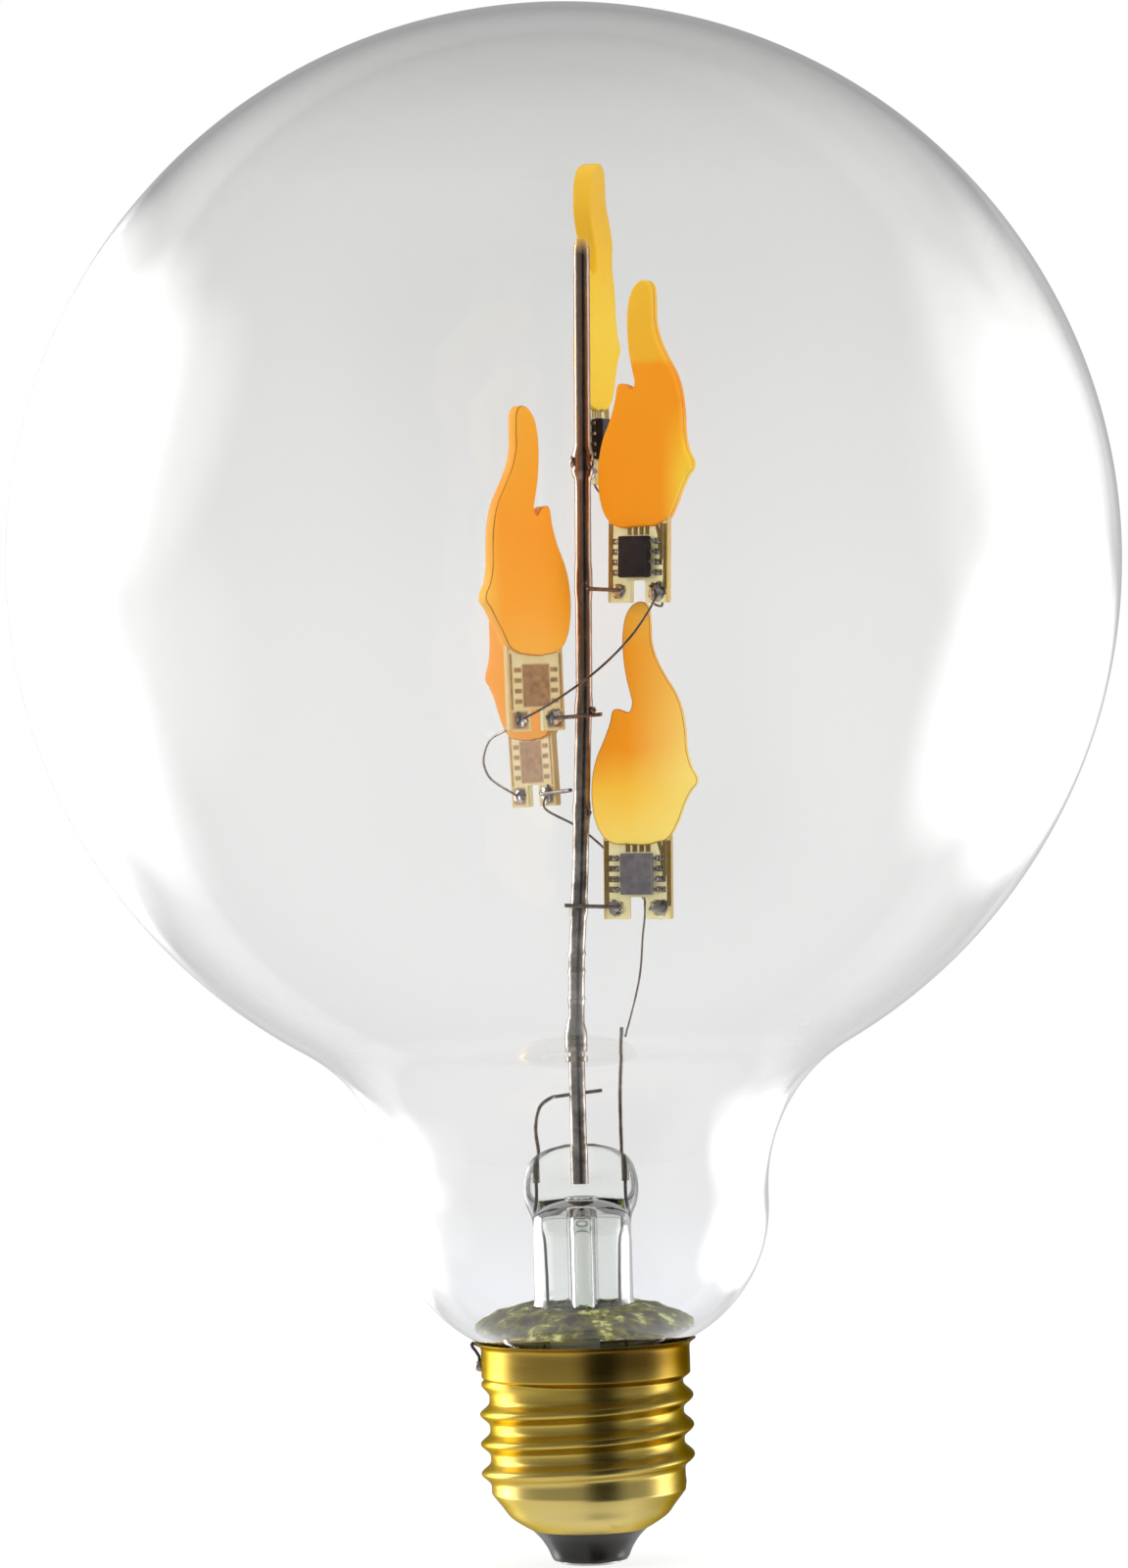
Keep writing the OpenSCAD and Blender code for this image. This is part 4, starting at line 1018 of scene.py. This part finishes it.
def tracks(k):
    y = -BOARD_T / 2
    edge = BOARD_W / 2
    top = BOARD_H[k] + 0.5
    zc = [CHIP_FOOT + CHIP_LEN / 2 + (i - 1.5) * LEG_PITCH for i in range(4)]
    lines = [
        [(edge - 0.42, 1.6), (edge - 0.42, top)],
        [(edge - 0.95, top), (edge - 0.95, zc[1] + 0.5), (edge - 1.1, zc[1] + 0.05), (2.9, zc[1])],
        [(2.9, zc[2]), (3.05, zc[2] + 0.35), (3.05, zc[3] - 0.3)],
        [(-edge + 0.4, 1.8), (-edge + 0.4, top)],
    ]
    lines += [[(x, CHIP_FOOT + CHIP_LEN + 0.15), (x, top)] for x in (-1.2, -0.35, 0.5, 1.3)]
    lines += [[(2.9, zc[3]), (3.1, zc[3] + 0.3), (2.6, top)]]
    widths = [0.3, 0.26, 0.24, 0.36, 0.34, 0.34, 0.34, 0.34, 0.26]
    dark = [ribbon(l, w + 0.2, y - 0.025, y + 0.01) for l, w in zip(lines, widths)]
    gold = [ribbon(l, w, y - 0.045, y + 0.01) for l, w in zip(lines, widths)]
    for z in zc:
        dark.append(box(-3.55, -2.35, y - 0.03, y + 0.01, z - 0.36, z + 0.36))
        dark.append(box(2.35, 3.45, y - 0.03, y + 0.01, z - 0.36, z + 0.36))
    piece("track_edges", *join(*dark), "solder", k=k, mat=TRACK_DARK)
    piece("tracks", *join(*gold), "solder", k=k, mat=TRACK_GOLD)


def blob(centre, size, seed, rough=0.5, level=3):
    """A lump of set solder."""
    bm = bmesh.new()
    bmesh.ops.create_icosphere(bm, subdivisions=level, radius=1)
    verts = []
    for v in bm.verts:
        c = v.co.normalized()
        s = (1 + rough * noise.noise(c * 1.6 + Vector((seed, 0, 0)))
             + 0.45 * rough * noise.noise(c * 4.5 + Vector((0, seed, 0))))
        verts.append(tuple(centre[i] + size[i] * c[i] * s for i in range(3)))
    faces = [tuple(v.index for v in f.verts) for f in bm.faces]
    bm.free()
    return verts, faces


def solder(k):
    y = BOARD_T / 2
    parts = []
    for s in (-1, 1):
        for f in (-1, 1):
            big = 1.0 if (s * f == -1) else 0.85
            parts.append(blob((s * PRONG_X, f * (y + 0.02), 1.45), (1.15 * big, 0.42, 1.05 * big),
                              11 + 7 * k + 3 * s + f))
    piece("pads", *join(*parts), "solder", k=k, sharp=180)


def bead(name, parts, slot, mat=None):
    """Small lumps, each given by its centre and half sizes, in one piece."""
    lumps = [blob(c, r, 5 + 3 * i, level=2) for i, (c, r) in enumerate(parts)]
    piece(name, *join(*lumps), slot, mat=mat, sharp=180)


# the lumps left where each arm was welded to the rod
bead("weld_top", [((1.45, -0.5, 134.9), (0.42, 0.5, 0.7)), ((2.5, -0.95, 133.6), (0.8, 0.35, 0.55)),
                  ((3.5, -0.7, 135.3), (0.42, 0.4, 0.6)), ((3.35, -0.8, 133.2), (0.25, 0.25, 0.25))],
     "rod_metal")
bead("weld_copper", [((3.75, -0.3, 134.6), (0.28, 0.4, 0.9))], "solder", PINK)
bead("weld_low", [((3.05, -0.8, 104.4), (0.4, 0.4, 0.45)), ((2.0, -0.9, 91.9), (0.5, 0.35, 0.6)),
                  ((0.45, -0.75, 80.0), (0.5, 0.4, 0.5)), ((2.3, -0.85, 119.9), (0.5, 0.35, 0.7))],
     "rod_metal")
for k in range(5):
    board(k)
    chip(k)
    legs(k)
    tracks(k)
    solder(k)


# cap

def crest(z, a):
    turn = (z - THREAD_TOP) / PITCH - a / 360
    nearest = round(turn)
    along = nearest + a / 360
    swell = ease((along + TURNS - 0.6) / 0.3) * ease((0.75 - along) / 0.35)
    return swell * ease((z - THREAD_FOOT) / 0.8) * (0.5 + 0.5 * cos(2 * pi * (turn - nearest))) ** 1.6


def shell():
    n = 240
    rings = []

    def ring(r, z):
        rings.append(circle(r, z, n))

    dome = flat_curve([(7.1, 4.3), (8.4, 5.05), (9.7, 6.0), (10.6, 7.2), (11.35, 8.15), (11.8, 8.75),
                       (11.9, 9.0)], 4)
    for r, z in dome[:-1]:
        ring(r, z)
    steps = 150
    for i in range(steps + 1):
        z = THREAD_FOOT + (SKIRT_Z + 0.1 - THREAD_FOOT) * i / steps
        row = []
        for j in range(n):
            a = 360 * j / n
            aa = a - 360 if a > 180 else a
            r = max(ROOT_R + (CREST_R - ROOT_R) * crest(z, aa),
                    ROOT_R + (SKIRT_R - ROOT_R) * ease((z - SKIRT_Z + 0.9) / 0.95))
            row.append((r * cos(radians(a)), r * sin(radians(a)), z))
        rings.append(row)
    lip = flat_curve([(SKIRT_R, SKIRT_Z + 0.3), (SKIRT_R, SKIRT_Z + 2), (SKIRT_R, CAP_H - RIM_FLARE_H - 0.1),
                      (SKIRT_R + 0.25, CAP_H - 0.45), (RIM_R - 0.06, CAP_H - 0.12), (RIM_R, CAP_H - 0.02),
                      (RIM_R - 0.12, CAP_H), (RIM_IN, CAP_H - 0.02)], 5)
    for r, z in lip:
        ring(r, z)
    for r, z in ((SKIRT_IN + 0.1, CAP_H - 0.5), (SKIRT_IN, CAP_H - RIM_FLARE_H), (SKIRT_IN, SKIRT_Z + 0.2),
                 (ROOT_R - SHELL, SKIRT_Z - 0.5), (ROOT_R - SHELL, 9.3), (10.2, 7.65), (9.35, 6.2),
                 (6.95, 4.65)):
        ring(r, z)
    piece("cap_shell", *lofted(rings, around=True), "cap_brass", ["screw_shell"], sharp=50)


shell()


def seen_cement():
    """The greenish filling that shows through the glass just above the rim, in a low mound round the stem."""
    r0, r1, steps, sides = 6.35, 13.55, 14, 160
    rings = []
    for i in range(steps + 1):
        t = i / steps
        r = r0 + (r1 - r0) * t
        ring = []
        for j in range(sides):
            a = 2 * pi * j / sides
            d = Vector((cos(a), sin(a), 0))
            h = 31.7 - 2.5 * t ** 2.2 + 0.35 * noise.noise(d * 4 + Vector((0, 0, r * 0.5)))
            ring.append((r * d.x, r * d.y, h + 0.15 * noise.noise(d * 14 + Vector((0, 0, r)))))
        rings.append(ring)
    under = [[(x, y, z - 0.35) for x, y, z in ring] for ring in rings[::-1]]
    piece("seen_cement", *lofted(rings + under, around=True), "cement", mat=CEMENT_SEEN, sharp=60)


seen_cement()
cone = flat_curve([(4.5, 0.52), (4.78, 0.95), (5.0, 1.5), (5.35, 2.2), (6.1, 3.3), (7.08, 4.3)], 4)
insulator_line = ([(0.5, 0.72), (3.8, 0.72), (3.8, 0.52), (4.35, 0.5)] + cone
                  + [(6.93, 4.66), (9.0, 7.0), (0.5, 7.0)])
piece("cap_glass", *revolved(insulator_line, 96), "vitrite", ["cap_insulator"], sharp=30)
contact_line = [(0.02, 0.0), (2.6, 0.0), (3.3, 0.05), (3.66, 0.16), (3.79, 0.34), (3.8, 0.6), (3.76, 0.7),
                (1.0, 0.7), (1.0, 3.2), (0.02, 3.2)]
piece("cap_contact", *revolved(contact_line, 96), "contact_tin", ["centre_contact"], sharp=30)


# stage, light, camera

SOFT_LIGHT, DARK_FIGURE, WINDOW, RIGHT_WINDOW_LESS = 0.68, 0.93, 0.8, 0.5
# direction, strength and width of the brightest patches in the windows
HOT_SPOTS = [((-0.88, 0.38, 0.28), 4.5, 0.06), ((-0.84, 0.48, -0.26), 3.0, 0.05),
             ((0.917, 0.25, -0.31), 4.0, 0.05), ((0.97, 0.14, 0.17), 1.2, 0.06)]


def world():
    """White to the camera and through glass, soft light on the part, a room with windows for gloss."""
    w = bpy.data.worlds.new("studio")
    bpy.context.scene.world = w
    w.use_nodes = True
    nt = w.node_tree
    nt.nodes.clear()
    out = nt.nodes.new("ShaderNodeOutputWorld")
    seen = node(nt, "ShaderNodeBackground", Color=(1, 1, 1, 1), Strength=1.0)
    light = node(nt, "ShaderNodeBackground", Color=(1, 1, 1, 1), Strength=SOFT_LIGHT)
    lp = nt.nodes.new("ShaderNodeLightPath")
    # the room: dim, with a paler floor, a dark figure right of the front and a tall soft window on each side
    tc = nt.nodes.new("ShaderNodeTexCoord")
    sep = nt.nodes.new("ShaderNodeSeparateXYZ")
    nt.links.new(tc.outputs["Generated"], sep.inputs["Vector"])
    dx, dy, dz = sep.outputs["X"], sep.outputs["Y"], sep.outputs["Z"]

    def step(value, lo, hi):
        n = node(nt, "ShaderNodeMapRange", From_Min=lo, From_Max=hi)
        n.interpolation_type = "SMOOTHSTEP"
        nt.links.new(value, n.inputs["Value"])
        return n.outputs["Result"]

    room = plus(nt, times(nt, step(dy, -0.8, 0.9), 0.2), 0.22)
    room = plus(nt, room, times(nt, step(dz, 0.2, -0.9), 0.45))
    person = times(nt, step(dx, -0.1, 0.06), step(dx, 0.75, 0.45), True)
    person = times(nt, person, step(dy, 0.0, -0.5), True)
    room = times(nt, room, minus(nt, 1.0, times(nt, person, DARK_FIGURE)))
    bent = minus(nt, dy, times(nt, times(nt, dz, dz), 1.35))
    window = times(nt, step(bent, -0.02, 0.12), step(dy, 0.93, 0.6), True)
    window = times(nt, window, step(math_node(nt, "ABSOLUTE", dz), 0.78, 0.5), True)
    window = times(nt, window, minus(nt, WINDOW, times(nt, step(dx, 0.0, 0.3), RIGHT_WINDOW_LESS)))
    total = plus(nt, room, window)
    for spot, strength, width in HOT_SPOTS:
        dot = nt.nodes.new("ShaderNodeVectorMath")
        dot.operation = "DOT_PRODUCT"
        nt.links.new(tc.outputs["Generated"], dot.inputs[0])
        dot.inputs[1].default_value = Vector(spot).normalized()
        glow = times(nt, step(dot.outputs["Value"], 1 - 1.6 * width, 1.0), strength)
        total = plus(nt, total, glow)
    shine = node(nt, "ShaderNodeBackground", Color=(1, 1, 1, 1))
    nt.links.new(total, shine.inputs["Strength"])
    lit = mix_shader(nt, lp.outputs["Is Glossy Ray"], light.outputs[0], shine.outputs[0])
    direct = larger(nt, lp.outputs["Is Camera Ray"], lp.outputs["Is Transmission Ray"])
    nt.links.new(mix_shader(nt, direct, lit, seen.outputs[0]), out.inputs["Surface"])


world()


FLOOR_R, FLOOR_GAP = 0.9, 0.0001


def floor():
    """Pale floor that shows nearly white and keeps the part's shadow."""
    sides = 96
    me = bpy.data.meshes.new("floor")
    me.from_pydata(circle(FLOOR_R, -FLOOR_GAP, sides), [], [tuple(range(sides))])
    ob = added("floor", me)
    m, nt, b = material("floor_white")
    paint(nt, b, ramp(nt, noise_tex(nt, 30, 3, 0.5), [(0.3, (0.8, 0.8, 0.8)), (0.7, (0.83, 0.83, 0.83))]))
    put(b, Roughness=0.9, Specular_IOR_Level=0.0)
    glow = node(nt, "ShaderNodeEmission", Color=(1, 1, 1, 1), Strength=1.12)
    lp = nt.nodes.new("ShaderNodeLightPath")
    seen = larger(nt, larger(nt, lp.outputs["Is Camera Ray"], lp.outputs["Is Glossy Ray"]),
                  lp.outputs["Is Transmission Ray"])
    show(nt, mix_shader(nt, times(nt, seen, 0.75), b.outputs["BSDF"], glow.outputs[0]))
    me.materials.append(m)
    ob.visible_glossy = False


floor()
LAMP_WATTS = 4.8
LAMP_AIM = Vector((0, 0, 0.1))


def area(name, loc, size):
    """A soft lamp that faces the middle of the part. Gloss and glass don't see it."""
    data = bpy.data.lights.new(name, "AREA")
    data.shape = "RECTANGLE"
    data.size, data.size_y = size
    data.energy = LAMP_WATTS
    ob = added(name, data)
    ob.location = loc
    ob.rotation_euler = (LAMP_AIM - Vector(loc)).to_track_quat("-Z", "Y").to_euler()
    ob.visible_glossy = False
    ob.visible_transmission = False


area("left_box", (-0.9, -0.5, 0.45), (0.35, 0.9))
area("right_box", (0.9, -0.45, 0.4), (0.35, 0.9))
area("top_box", (0, -0.1, 1.1), (0.8, 0.8))

# 0.12 mm to a pixel at the lamp's axis, over the photograph's 1600 rows
CAM_D, FRAME_H = 0.8, 0.192
CAM_X, CAM_Z, CAM_ROLL = -0.73, 95.46, -1.55
cam = bpy.data.cameras.new("camera")
cam.sensor_fit = "VERTICAL"
cam.sensor_height = 24
cam.lens = cam.sensor_height * CAM_D / FRAME_H
cam_ob = added("camera", cam)
cam_ob.matrix_world = (Matrix.Translation((CAM_X * MM, -CAM_D, CAM_Z * MM))
                       @ Matrix.Rotation(radians(90), 4, "X")
                       @ Matrix.Rotation(radians(CAM_ROLL), 4, "Z"))
bpy.context.scene.camera = cam_ob
bpy.context.scene.view_settings.view_transform = "Standard"
